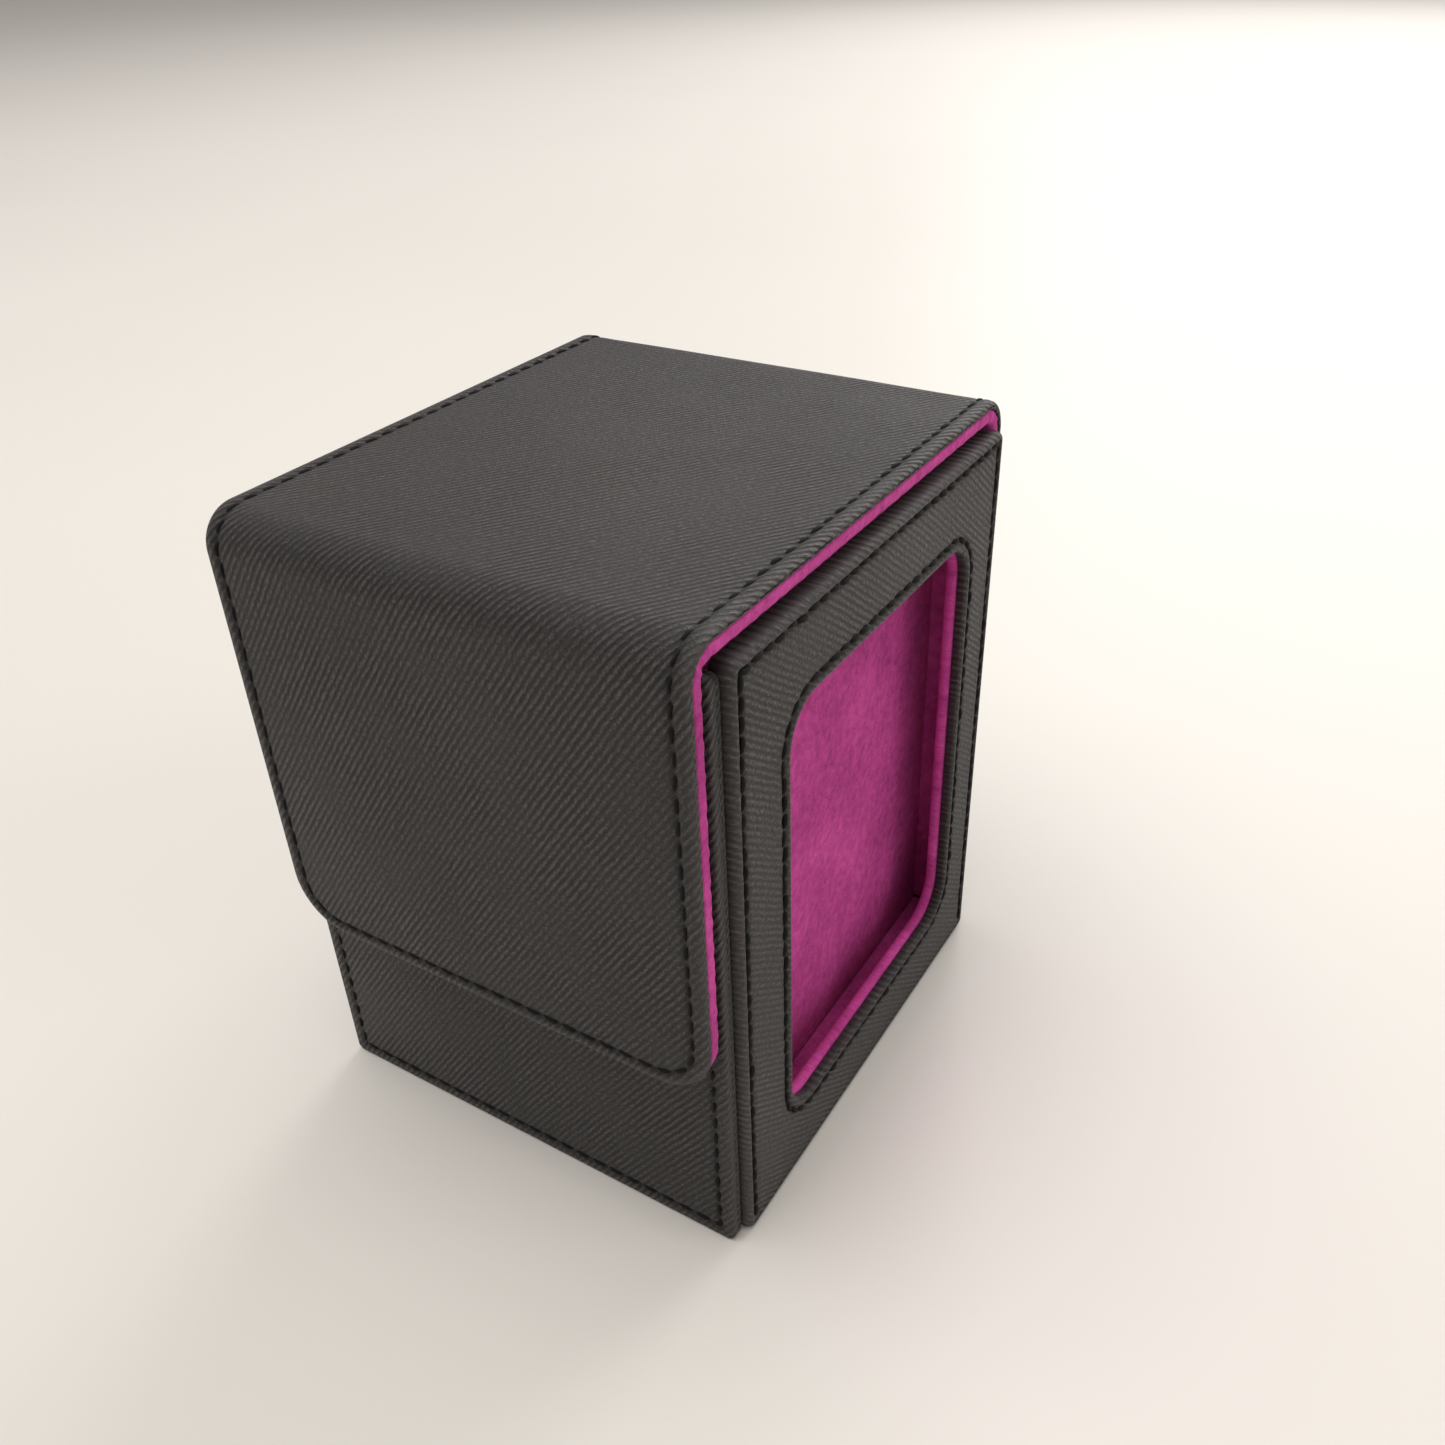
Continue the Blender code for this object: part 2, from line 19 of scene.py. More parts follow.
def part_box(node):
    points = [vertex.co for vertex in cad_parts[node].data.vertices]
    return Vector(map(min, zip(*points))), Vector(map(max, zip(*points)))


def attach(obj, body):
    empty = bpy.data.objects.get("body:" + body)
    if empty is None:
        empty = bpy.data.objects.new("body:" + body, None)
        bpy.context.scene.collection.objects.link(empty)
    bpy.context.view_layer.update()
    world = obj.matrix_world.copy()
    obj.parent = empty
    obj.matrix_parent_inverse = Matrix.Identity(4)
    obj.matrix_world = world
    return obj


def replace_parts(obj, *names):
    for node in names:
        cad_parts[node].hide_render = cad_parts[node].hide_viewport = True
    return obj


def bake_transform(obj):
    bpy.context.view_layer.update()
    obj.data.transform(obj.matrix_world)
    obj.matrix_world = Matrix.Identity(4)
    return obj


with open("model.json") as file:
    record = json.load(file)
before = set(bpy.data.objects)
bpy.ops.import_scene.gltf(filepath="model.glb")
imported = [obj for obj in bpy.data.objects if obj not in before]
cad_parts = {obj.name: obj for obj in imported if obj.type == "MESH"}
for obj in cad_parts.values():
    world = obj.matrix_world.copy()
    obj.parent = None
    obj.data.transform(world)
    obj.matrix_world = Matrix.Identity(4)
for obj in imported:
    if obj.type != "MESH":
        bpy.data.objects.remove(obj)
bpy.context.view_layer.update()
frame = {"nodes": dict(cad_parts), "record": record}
MM = 0.001

# %% [markdown]
# ## A sheet with turned edges
#
# A turned sheet could be a box with a bevel. A real one isn't so even: its edge is rolled, its seam pulls a groove, and
# between the seam and the edge it puffs up. So each sheet is a loft. One outline is drawn again and again, each time
# a little further in from the edge, and each time at the depth that the sheet has there. The outlines start under
# the sheet, come round its edge, cross the seam and end on its middle line.

# %% Draw one outline
CORNER_POINTS = 9
LEAST_RADIUS = 0.02 * MM
OUTLINE_STEP = 0.6 * MM


class Outline:
    """A rectangle with round corners, drawn again at any inset and always with the same number of points.

    Each side has a middle part that stands still at every inset, and two end parts that draw together. Each corner
    is a quarter circle whose radius shrinks by the inset.
    """

    def __init__(self, low, high, radii):
        self.low = np.array(low, float)
        self.high = np.array(high, float)
        self.radii = radii
        reach = self.half()
        self.still = np.stack([self.low + reach, self.high - reach])
        self.counts = [
            (max(int(reach / OUTLINE_STEP), 2), int((self.still[1, axis] - self.still[0, axis]) / OUTLINE_STEP))
            for axis in (0, 1)
        ]

    def side(self, axis, start, end):
        """Places along one side between two corners, the last one left out."""
        ends, middle = self.counts[axis]
        first, last = self.still[:, axis] if start < end else self.still[::-1, axis]
        return np.concatenate([
            np.linspace(start, first, ends, endpoint=False),
            np.linspace(first, last, middle, endpoint=False),
            np.linspace(last, end, ends, endpoint=False),
        ])

    def at(self, inset):
        """Points of the outline pulled in by inset: a side, then a quarter circle, four times over."""
        low = self.low + inset
        high = self.high - inset
        radii = [max(radius - inset, LEAST_RADIUS) for radius in self.radii]
        turn = np.linspace(0, math.pi / 2, CORNER_POINTS, endpoint=False)
        sides = (
            (0, low[0] + radii[0], high[0] - radii[1], low[1]),
            (1, low[1] + radii[1], high[1] - radii[2], high[0]),
            (0, high[0] - radii[2], low[0] + radii[3], high[1]),
            (1, high[1] - radii[3], low[1] + radii[0], low[0]),
        )
        centres = (
            (high[0] - radii[1], low[1] + radii[1]),
            (high[0] - radii[2], high[1] - radii[2]),
            (low[0] + radii[3], high[1] - radii[3]),
            (low[0] + radii[0], low[1] + radii[0]),
        )
        points = []
        for number, (axis, start, end, level) in enumerate(sides):
            along = self.side(axis, start, end)
            fixed = np.full_like(along, level)
            points.append(np.stack([along, fixed] if axis == 0 else [fixed, along], axis=1))
            angle = turn + (number - 1) * math.pi / 2
            arc = np.stack([np.cos(angle), np.sin(angle)], axis=1) * radii[(number + 1) % 4]
            points.append(np.array(centres[number]) + arc)
        return np.concatenate(points)

    def half(self):
        """The inset at which the outline closes on its own middle line."""
        return (self.high - self.low).min() / 2 - LEAST_RADIUS


def lengths_along(points):
    """Distance along a line of points: the running sum of the lengths between neighbours, from 0."""
    steps = np.linalg.norm(np.diff(points, axis=0), axis=1)
    return np.concatenate([[0.0], np.cumsum(steps)])


print("an outline has", len(Outline((0, 0), (0.1, 0.1), [0.01] * 4).at(0.0)), "points")

# %% [markdown]
# ## From outlines to a mesh
#
# A stack of outlines is a grid: one direction goes round, the other goes from outline to outline. Neighbours in
# the grid make the faces. The flat sheet's own coordinates are kept as a UV map, in metres, so that the ribs of the
# leatherette follow the sheet round its folds and over its edges, as they do when it is made.

# %% Turn a stack of outlines into a grid
UNDER_ROWS = 8


class Grid:
    """A stack of outlines, row after row.

    place(u, v, depth) carries each flat point to space. Every point keeps its flat sheet coordinates and three marks
    from 0 to 1: seam, for the groove's painted shade, an edge mark for a painted highlight, and backing, which is 1 on
    the rows of the underside.
    """

    def __init__(self, lines, depths, flats, seam, wear, place):
        depths = np.broadcast_to(depths, lines.shape[:2])
        self.shape = lines.shape[:2]
        self.places = place(lines[..., 0], lines[..., 1], depths).reshape(-1, 3)
        self.flats = flats.reshape(-1, 2)
        self.seam = np.broadcast_to(seam, self.shape).reshape(-1)
        self.wear = np.broadcast_to(wear, self.shape).reshape(-1)
        under = np.arange(self.shape[0]) < UNDER_ROWS
        self.backing = np.broadcast_to(under[:, None], self.shape).reshape(-1)

    def faces(self, ring=False):
        """Four corners for each cell: a point, its neighbour, and the same two on the next row. Columns close up."""
        rows, columns = self.shape
        row, column = np.meshgrid(np.arange(rows if ring else rows - 1), np.arange(columns), indexing="ij")
        below = row * columns
        above = ((row + 1) % rows) * columns
        after = (column + 1) % columns
        return np.stack([below + column, below + after, above + after, above + column], axis=-1).reshape(-1, 4)


print("rows on the underside:", UNDER_ROWS)

# %% [markdown]
# The grid becomes a Blender mesh in one call, with no loop over its points. Where outlines close on a line, points
# fall together and are merged. Where a sheet is cut, the open edge is closed with a flat cap, and its rim is marked
# sharp so that the cap doesn't bend the light on the sheet.

# %% Turn a grid into a piece
WELD = 0.06 * MM


def finish_mesh(obj, merge):
    """Faces turned outwards and shaded smooth. With merge, poles are merged and an open rim gets a sharp cap."""
    build = bmesh.new()
    build.from_mesh(obj.data)
    if merge:
        bmesh.ops.remove_doubles(build, verts=build.verts, dist=WELD)
        rim = [edge for edge in build.edges if edge.is_boundary]
        for edge in rim:
            edge.smooth = False
        bmesh.ops.holes_fill(build, edges=rim)
    for face in build.faces:
        face.smooth = True
    bmesh.ops.recalc_face_normals(build, faces=build.faces)
    build.to_mesh(obj.data)
    build.free()


def mesh_object(name, places, faces, flats, material, body):
    """An object from places and faces, with the flat sheet coordinates as its UV map. body None leaves it unattached.
    """
    mesh = bpy.data.meshes.new(name)
    mesh.from_pydata(places.tolist(), [], faces.tolist())
    layer = mesh.uv_layers.new(name="sheet")
    layer.data.foreach_set("uv", flats[faces.reshape(-1)].reshape(-1).astype(np.float32))
    mesh.materials.append(material)
    obj = bpy.data.objects.new(name, mesh)
    bpy.context.scene.collection.objects.link(obj)
    if body:
        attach(obj, body)
    return obj


def sheet_object(name, grid, material, body, ring=False, wanted=None):
    """The grid, or the part where wanted(u, v) holds, as a closed piece."""
    faces = grid.faces(ring)
    used = np.arange(len(grid.places))
    if wanted is not None:
        middles = grid.flats[faces].mean(axis=1)
        faces = faces[wanted(middles[:, 0], middles[:, 1])]
        used, numbered = np.unique(faces, return_inverse=True)
        faces = numbered.reshape(-1, 4)
    obj = mesh_object(name, grid.places[used], faces, grid.flats[used], material, body)
    for label, values in (("seam", grid.seam), ("wear", grid.wear), ("backing", grid.backing)):
        mark = obj.data.attributes.new(label, "FLOAT", "POINT")
        mark.data.foreach_set("value", values[used].astype(np.float32))
    finish_mesh(obj, True)
    print(name, len(obj.data.polygons), "faces")
    return obj


print("points nearer than this are merged, in mm:", WELD / MM)

# %% [markdown]
# ## The turned edge in section
#
# Seen from its end, the edge is a quarter circle outside, a short straight drop, and a small turn under. Inside the
# seam's groove the sheet is flat. The groove is deeper where the thread goes down into its hole and shallower under
# the stitch, which gives the line its beaded look.

# %% The section of a turned edge
STITCH_PITCH = 3.2 * MM
SEAM_INSET = 2.4 * MM
GROOVE_WIDTH = 0.55 * MM
NEEDLE_SHARE = 0.4
TURN_STEPS = 7
FACE_STEPS = 18
UNDER_TURN = 0.16
PAST_SEAM = 2.2 * MM
UNDER_INSETS = np.array([6.0, 2.5, 1.2]) * MM
CREASE_SHAPE = np.array([0.0, 0.6, 1.0, 0.6, 0.0])
CREASE_HEIGHT = np.linspace(0.70, 0.54, len(CREASE_SHAPE))


def edge_section(thickness, roll, seam, puff, crease=0.0):
    """Rows of inset, depth and unrolled inset, from under the sheet, round its edge and over its seam.

    A quarter circle turns under, a crease pulls the straight drop in, a quarter circle of radius roll comes up, and
    half a sine wave of height puff lifts the face as far as the seam. The unrolled inset counts lengths along the
    section, so that the ribs aren't stretched where the sheet turns.
    """
    turn = np.linspace(0, math.pi / 2, TURN_STEPS)
    under = UNDER_TURN * thickness
    across = np.linspace(roll, seam + PAST_SEAM, FACE_STEPS + 1)[1:]
    rise = puff * np.sin(np.clip((across - roll) / (seam - roll), 0, 1) * math.pi)
    inset = np.concatenate([
        UNDER_INSETS,
        under * (1 - np.sin(turn)),
        crease * CREASE_SHAPE,
        roll * (1 - np.cos(turn)),
        across,
    ])
    depth = np.concatenate([
        np.full(len(UNDER_INSETS), thickness),
        thickness - under * (1 - np.cos(turn)),
        thickness * CREASE_HEIGHT,
        roll * (1 - np.sin(turn)),
        -rise,
    ])
    run = np.concatenate([[0.0], np.cumsum(np.hypot(np.diff(inset), np.diff(depth)))])
    return inset, depth, inset[-1] - (run[-1] - run)


def seam_valley(distance, along):
    """How deep a seam has pulled the sheet in, from 0 to 1.

    A bell curve across the seam, times a raised cosine along it that is deepest at the needle holes.
    """
    holes = 0.5 + 0.5 * np.cos(2 * math.pi * along / STITCH_PITCH)
    return np.exp(-(distance / GROOVE_WIDTH) ** 2) * (1 - NEEDLE_SHARE + NEEDLE_SHARE * holes ** 3)


print("edge section has", len(edge_section(2 * MM, 0.9 * MM, SEAM_INSET, 0.05 * MM)[0]), "rows")

# %% [markdown]
# A whole sheet is that section carried inwards from its outline. Its face isn't quite level either: sheets that are
# glued by hand keep a gentle waviness, which shows in a raking light. It could be a bump, but then the outline and the
# folds would stay ruler-straight.

# %% A whole turned sheet
BENEATH_ROWS = UNDER_ROWS - len(UNDER_INSETS)
INNER_ROWS = 9
NO_SEAM = {"groove": 0.0, "puff": 0.0}
FIRST_ON_TOP = UNDER_ROWS + TURN_STEPS + len(CREASE_SHAPE)
BENEATH_REACH = 9 * MM
INNER_STEP = 1.5 * MM
CALM_EDGE = 6 * MM
HIGHLIGHT_WIDTH = 0.9 * MM


def unevenness(u, v, size):
    """A gentle waviness of a glued sheet: three crossed sine waves of different length."""
    waves = np.sin(u * 97 + v * 31 + 0.4) + np.sin(v * 71 - u * 43 + 1.9) + 0.7 * np.sin(u * 173 + v * 139)
    return size * waves / 2.7


def turned_sheet(outline, place, thickness, roll=0.9 * MM, seam=SEAM_INSET, groove=0.32 * MM, puff=0.05 * MM,
                 wave=0.08 * MM, wear=0.0, crease=0.0):
    """Grid of a whole sheet: its underside, its edge, its seam, then outlines that shrink to its middle line.

    Depth is the edge's section, plus groove times the seam's valley, plus the waviness, which fades at the edge.
    """
    inset, depth, unrolled = edge_section(thickness, roll, seam, puff, crease)
    beneath = np.geomspace(outline.half(), BENEATH_REACH, BENEATH_ROWS)
    inner = np.geomspace(inset[-1] + INNER_STEP, outline.half(), INNER_ROWS)
    insets = np.concatenate([beneath, inset, inner])
    depths = np.concatenate([np.full(BENEATH_ROWS, thickness), depth, np.zeros(INNER_ROWS)])[:, None]
    flat_insets = np.concatenate([np.full(BENEATH_ROWS, unrolled[0]), unrolled, inner])
    lines = np.array([outline.at(value) for value in insets])
    flats = np.array([outline.at(value) for value in flat_insets])
    on_top = (np.arange(len(insets)) > FIRST_ON_TOP)[:, None]
    valley = seam_valley(insets[:, None] - seam, lengths_along(outline.at(seam))[None, :]) * on_top * (groove > 0)
    calm = np.clip(insets / CALM_EDGE, 0, 1)[:, None]
    soft = unevenness(lines[..., 0], lines[..., 1], wave) * calm * on_top
    # Painted highlight: the rolled edge is painted paler, where its roll would catch the light.
    highlight_rows = np.concatenate([
        np.zeros(BENEATH_ROWS), wear * np.exp(-(unrolled / HIGHLIGHT_WIDTH) ** 2), np.zeros(INNER_ROWS),
    ])[:, None]
    return Grid(lines, depths + groove * valley + soft, flats, valley, highlight_rows, place)


print("the face starts after row", FIRST_ON_TOP)

# %% [markdown]
# ## Stitches
#
# The seam is lock-stitched with a thick black thread. What shows is a row of short bars, each a little askew, with
# both ends pulled down into the leather. They could be a texture, but their shadows are what makes the line look
# sewn. Each bar is a tube of few faces, worked out in the sheet's flat coordinates and then carried to its place with
# the sheet.

# %% Make the stitches of one seam
TUBE_STEPS = 7
TUBE_SIDES = 6
THREAD_RADIUS = 0.31 * MM
STITCH_FILL = 0.86
STITCH_DIP = 0.45 * MM
STITCH_SLANT = (0.10, 0.26)
WOBBLE = 0.05 * MM
rng = np.random.default_rng(11)


def stitches(name, path, place, body, level, keep=None, wobble=WOBBLE, pitch=STITCH_PITCH, thick=THREAD_RADIUS,
             fill=STITCH_FILL):
    """Tubes along a closed flat path. level is the depth of the thread's middle at the top of a stitch.

    Each tube's middle line is an arch with cubic ends, and its radius halves there.
    """
    loop = np.concatenate([path, path[:1]])
    steps = lengths_along(loop)
    count = int(steps[-1] / pitch)
    starts = (np.arange(count) + 0.5) * steps[-1] / count
    share = np.linspace(-0.5, 0.5, TUBE_STEPS)
    along = starts[:, None] + share * pitch * fill * rng.uniform(0.94, 1.06, (count, 1))
    u = np.interp(along, steps, loop[:, 0])
    v = np.interp(along, steps, loop[:, 1])
    if keep is not None:
        wanted = keep(u[:, TUBE_STEPS // 2], v[:, TUBE_STEPS // 2])
        u, v = u[wanted], v[wanted]
        count = len(u)
    ahead_u = np.gradient(u, axis=1)
    ahead_v = np.gradient(v, axis=1)
    norm = np.hypot(ahead_u, ahead_v)
    slant = rng.uniform(*STITCH_SLANT, (count, 1)) * MM
    sideways = slant * share * 2 + rng.normal(0, wobble, (count, 1))
    arch = 1 - (2 * np.abs(share)) ** 3
    lift = level + STITCH_DIP * (1 - arch) + rng.normal(0, 0.025, (count, 1)) * MM
    radius = thick * (0.5 + 0.5 * np.sqrt(np.clip(arch, 0, 1))) * rng.uniform(0.88, 1.1, (count, 1))
    turn = np.linspace(0, 2 * math.pi, TUBE_SIDES, endpoint=False)
    across = sideways[..., None] + radius[..., None] * np.cos(turn)
    tube_u = u[..., None] + (ahead_v / norm)[..., None] * across
    tube_v = v[..., None] - (ahead_u / norm)[..., None] * across
    tube_depth = lift[..., None] + radius[..., None] * np.sin(turn)
    points = place(tube_u, tube_v, tube_depth).reshape(-1, 3)
    step, corner = np.meshgrid(np.arange(TUBE_STEPS - 1), np.arange(TUBE_SIDES), indexing="ij")
    first = step * TUBE_SIDES + corner
    second = step * TUBE_SIDES + (corner + 1) % TUBE_SIDES
    tube = np.stack([first, second, second + TUBE_SIDES, first + TUBE_SIDES], axis=-1).reshape(-1, 4)
    cap = np.array([[3, 2, 1, 0], [0, 5, 4, 3]])
    one = np.concatenate([tube, cap, cap[:, ::-1] + (TUBE_STEPS - 1) * TUBE_SIDES])
    faces = (np.arange(count)[:, None, None] * TUBE_STEPS * TUBE_SIDES + one).reshape(-1, 4)
    flats = np.stack([tube_u, tube_v], axis=-1).reshape(-1, 2)
    obj = mesh_object(name, points, faces, flats, thread, body)
    finish_mesh(obj, False)
    print(name, count, "stitches")
    return obj


print("faces in one stitch:", (TUBE_STEPS - 1) * TUBE_SIDES + 4)

# %% [markdown]
# ## Materials
#
# Every finish is a small tree of shader nodes: patterns go through a colour ramp to the colour and through a bump to
# the surface. An image could hold the same pattern, but it repeats and blurs. A helper for each kind of node
# keeps the trees short enough to read.

# %% Node helpers
def node(tree, kind, **values):
    """Adds a shader node and sets its properties."""
    made = tree.nodes.new(kind)
    for name, value in values.items():
        setattr(made, name, value)
    return made


def link(tree, source, target):
    """Joins one node's output socket to another's input socket."""
    tree.links.new(source, target)


def wired(tree, kind, output, inputs, **values):
    """Adds a node, gives each input a socket or a plain value, and returns the wanted output socket."""
    made = node(tree, kind, **values)
    for key, value in inputs.items():
        if isinstance(value, bpy.types.NodeSocket):
            link(tree, value, made.inputs[key])
        elif value is not None:
            made.inputs[key].default_value = value
    return made.outputs[output]


def math_node(tree, operation, first, second=None, third=None):
    """One sum on sockets or plain numbers."""
    return wired(tree, "ShaderNodeMath", 0, {0: first, 1: second, 2: third}, operation=operation)


def noise(tree, vector, scale, detail=3.0, roughness=0.5):
    """Cloudy noise around 0.5. scale is the number of clouds in a metre."""
    values = {"Vector": vector, "Scale": scale, "Detail": detail, "Roughness": roughness}
    return wired(tree, "ShaderNodeTexNoise", "Fac", values)


def ramp(tree, factor, stops):
    """A colour ramp: stops are (place, colour) and the factor is a socket."""
    made = node(tree, "ShaderNodeValToRGB")
    elements = made.color_ramp.elements
    while len(elements) < len(stops):
        elements.new(0.5)
    for element, (place_on_ramp, colour) in zip(elements, stops):
        element.position = place_on_ramp
        element.color = (*colour, 1.0)
    link(tree, factor, made.inputs["Fac"])
    return made.outputs["Color"]


def mixed(tree, factor, first, second):
    """Two colours mixed: first is a socket and second a plain colour."""
    return wired(tree, "ShaderNodeMix", 2, {"Factor": factor, 6: first, 7: (*second, 1.0)}, data_type="RGBA")


def span_of(tree, value, low, high, new_low, new_high):
    """The straight line that carries low to new_low and high to new_high, held level outside them."""
    values = {"Value": value, "From Min": low, "From Max": high, "To Min": new_low, "To Max": new_high}
    return wired(tree, "ShaderNodeMapRange", "Result", values)


def bump(tree, height, distance, strength, under=None):
    """Tilts the surface as if height were carved distance deep, on top of the bump that lies under it."""
    values = {"Height": height, "Distance": distance, "Strength": strength, "Normal": under}
    return wired(tree, "ShaderNodeBump", "Normal", values)


def start_material(name, roughness, specular=0.5):
    """A new material with its tree and its shader."""
    material = bpy.data.materials.new(name)
    material.use_nodes = True
    tree = material.node_tree
    shader = tree.nodes["Principled BSDF"]
    shader.inputs["Roughness"].default_value = roughness
    shader.inputs["Specular IOR Level"].default_value = specular
    return material, tree, shader


def sheet_coordinates(tree, slant):
    """The flat sheet's own coordinates, and the same turned so that X runs across the ribs."""
    flat = node(tree, "ShaderNodeUVMap", uv_map="sheet").outputs["UV"]
    return flat, wired(tree, "ShaderNodeMapping", "Vector", {"Vector": flat, "Rotation": (0.0, 0.0, slant)})


def attribute(tree, name):
    """One of the marks that the grid left on every point."""
    return node(tree, "ShaderNodeAttribute", attribute_name=name).outputs["Fac"]


def scaled(tree, vector, across, along):
    """Coordinates stretched by two factors, so that a noise read on them is longer one way."""
    return wired(tree, "ShaderNodeMapping", "Vector", {"Vector": vector, "Scale": (across, along, 1.0)})


print("shader helpers are ready")

# %% [markdown]
# The leatherette is polyurethane pressed with a twill: fine ribs, about one millimetre apart, that run slantwise. Its
# ribs catch the light along their tops, and its face is rubbed a little paler in places. A sine wave across the
# slant, bent a little by noise, gives ribs that never repeat. The height of that wave drives the bump, the colour and
# the roughness: in the colour, the paler rib tops are a painted highlight. Rolled edges are painted paler, a painted
# highlight, and the seam's groove is painted nearly black, a painted shade.

# %% The leatherette
RIB_PITCH = 0.925 * MM
RIB_BUMP = 0.25 * MM
GRAIN_BUMP = 0.10 * MM
WARM_BLACK = (1.12, 0.96, 0.93)
LEATHER_STOPS = ((0.45, 0.002), (0.66, 0.0165), (0.92, 0.082))
# Pale colour of the painted highlight on rolled edges.
PAINTED_HIGHLIGHT = (0.30, 0.285, 0.27)
# Colour of the painted shade in the seam's groove.
GROOVE_PAINTED_SHADE = (0.0025, 0.0025, 0.0025)
BACKING_MAGENTA = (0.36, 0.040, 0.20)


def leatherette(name, slant, shade=1.0, ribs=1.0, backed=False):
    """Ribbed leatherette. slant is the angle in degrees from the sheet's U axis to its ribs.

    The height is a sine wave across the ribs, shifted by noise, times a noise for its strength, plus small beads.
    backed shows the sheet's magenta fabric backing on its underside.
    """
    material, tree, shader = start_material(name, 0.6, 0.46)
    flat, turned = sheet_coordinates(tree, math.radians(90 - slant))
    axes = node(tree, "ShaderNodeSeparateXYZ")
    link(tree, turned, axes.inputs[0])
    drift = noise(tree, flat, 130.0, 2.0)
    jitter = noise(tree, scaled(tree, turned, 1.0, 0.4), 1300.0, 2.0)
    beads = noise(tree, scaled(tree, turned, 1.0, 0.45), 2400.0, 3.0, 0.65)
    grain = noise(tree, flat, 3000.0, 3.0, 0.7)
    patches = noise(tree, flat, 75.0, 2.0, 0.5)
    cloud = noise(tree, flat, 15.0, 3.0, 0.5)
    shift = math_node(tree, "MULTIPLY_ADD", drift, 2.6, math_node(tree, "MULTIPLY", jitter, 2.8))
    wave = math_node(tree, "SINE", math_node(tree, "MULTIPLY_ADD", axes.outputs["X"], 2 * math.pi / RIB_PITCH, shift))
    strength = math_node(tree, "MULTIPLY", span_of(tree, patches, 0.36, 0.62, 0.20 * ribs, 0.5 * ribs),
                         span_of(tree, beads, 0.35, 0.65, 0.45, 1.25))
    rib = math_node(tree, "MULTIPLY", wave, strength)
    height = math_node(tree, "MULTIPLY_ADD", beads, 1.1, rib)
    # The height goes into the colour too: the beads are grain, and the paler rib tops are a painted highlight.
    tone = math_node(tree, "MULTIPLY_ADD", cloud, 0.20, math_node(tree, "MULTIPLY", height, 0.36))
    tone = math_node(tree, "MULTIPLY_ADD", grain, 0.70, tone)
    # shade scales the colours: below 1 it is painted shade, above 1 painted light.
    stops = [(at, [shade * level * tint for tint in WARM_BLACK]) for at, level in LEATHER_STOPS]
    # Painted highlight: rolled edges and the window's front and top rim are painted paler.
    colour = mixed(tree, attribute(tree, "wear"), ramp(tree, tone, stops), PAINTED_HIGHLIGHT)
    # Painted shade: the seam's groove is painted nearly black, darkest at the needle holes.
    colour = mixed(tree, attribute(tree, "seam"), colour, GROOVE_PAINTED_SHADE)
    if backed:
        colour = mixed(tree, attribute(tree, "backing"), colour, BACKING_MAGENTA)
    link(tree, colour, shader.inputs["Base Color"])
    polish = math_node(tree, "MULTIPLY_ADD", cloud, 0.8, height)
    link(tree, span_of(tree, polish, 0.5, 1.4, 0.72, 0.48), shader.inputs["Roughness"])
    fine = bump(tree, grain, GRAIN_BUMP, 0.8)
    link(tree, bump(tree, height, RIB_BUMP, 1.0, fine), shader.inputs["Normal"])
    shader.inputs["Sheen Weight"].default_value = 0.06
    shader.inputs["Sheen Roughness"].default_value = 0.4
    return material


COVER_SLANT = 54.5
PANEL_SLANT = -37.5
# The walls' copy is painted a little darker and the panel's a little lighter than the cover: painted shade and painted
# light for how those faces are lit.
leather_cover = leatherette("leatherette_cover", COVER_SLANT, backed=True)
leather_wall = leatherette("leatherette_wall", COVER_SLANT, 0.95)
leather_panel = leatherette("leatherette_panel", PANEL_SLANT, 1.05, 0.65)
print("rib pitch in mm:", RIB_PITCH / MM)

# %% [markdown]
# The suede is a microfibre with a short nap. Stroked one way it is darker, the other way paler, so it has soft
# clouds. Its grain is very fine. A little sheen lights it where it turns away from the eye.

# %% The suede
NAP_STOPS = ((0.38, (0.27, 0.028, 0.155)), (0.56, (0.53, 0.066, 0.300)), (0.74, (0.78, 0.120, 0.460)))


def suede_material(name, coordinates):
    """Magenta microfibre: three noises of falling size are added up. coordinates is UV for a bent sheet."""
    material, tree, shader = start_material(name, 0.95, 0.12)
    if coordinates == "UV":
        vector = node(tree, "ShaderNodeUVMap", uv_map="sheet").outputs["UV"]
    else:
        vector = node(tree, "ShaderNodeTexCoord").outputs["Object"]
    cloud = noise(tree, vector, 60.0, 3.0, 0.6)
    tuft = noise(tree, vector, 700.0, 3.0, 0.6)
    fibre = noise(tree, vector, 3200.0, 3.0, 0.7)
    tone = math_node(tree, "MULTIPLY_ADD", cloud, 0.40, math_node(tree, "MULTIPLY", tuft, 0.35))
    tone = math_node(tree, "MULTIPLY_ADD", fibre, 0.35, tone)
    link(tree, ramp(tree, tone, NAP_STOPS), shader.inputs["Base Color"])
    shader.inputs["Sheen Weight"].default_value = 0.12
    shader.inputs["Sheen Roughness"].default_value = 0.45
    shader.inputs["Sheen Tint"].default_value = (0.95, 0.30, 0.60, 1.0)
    coarse = bump(tree, tuft, 0.16 * MM, 0.5)
    link(tree, bump(tree, fibre, 0.07 * MM, 0.7, coarse), shader.inputs["Normal"])
    return material


suede_sheet = suede_material("suede_sheet", "UV")
suede_flat = suede_material("suede_flat", "Object")
print("suede colours:", len(NAP_STOPS))

# %% [markdown]
# Three small finishes are left: the waxed thread, the raw grey board and the plated magnets. Board and magnets are
# closed in, but each still has a finish of its own.

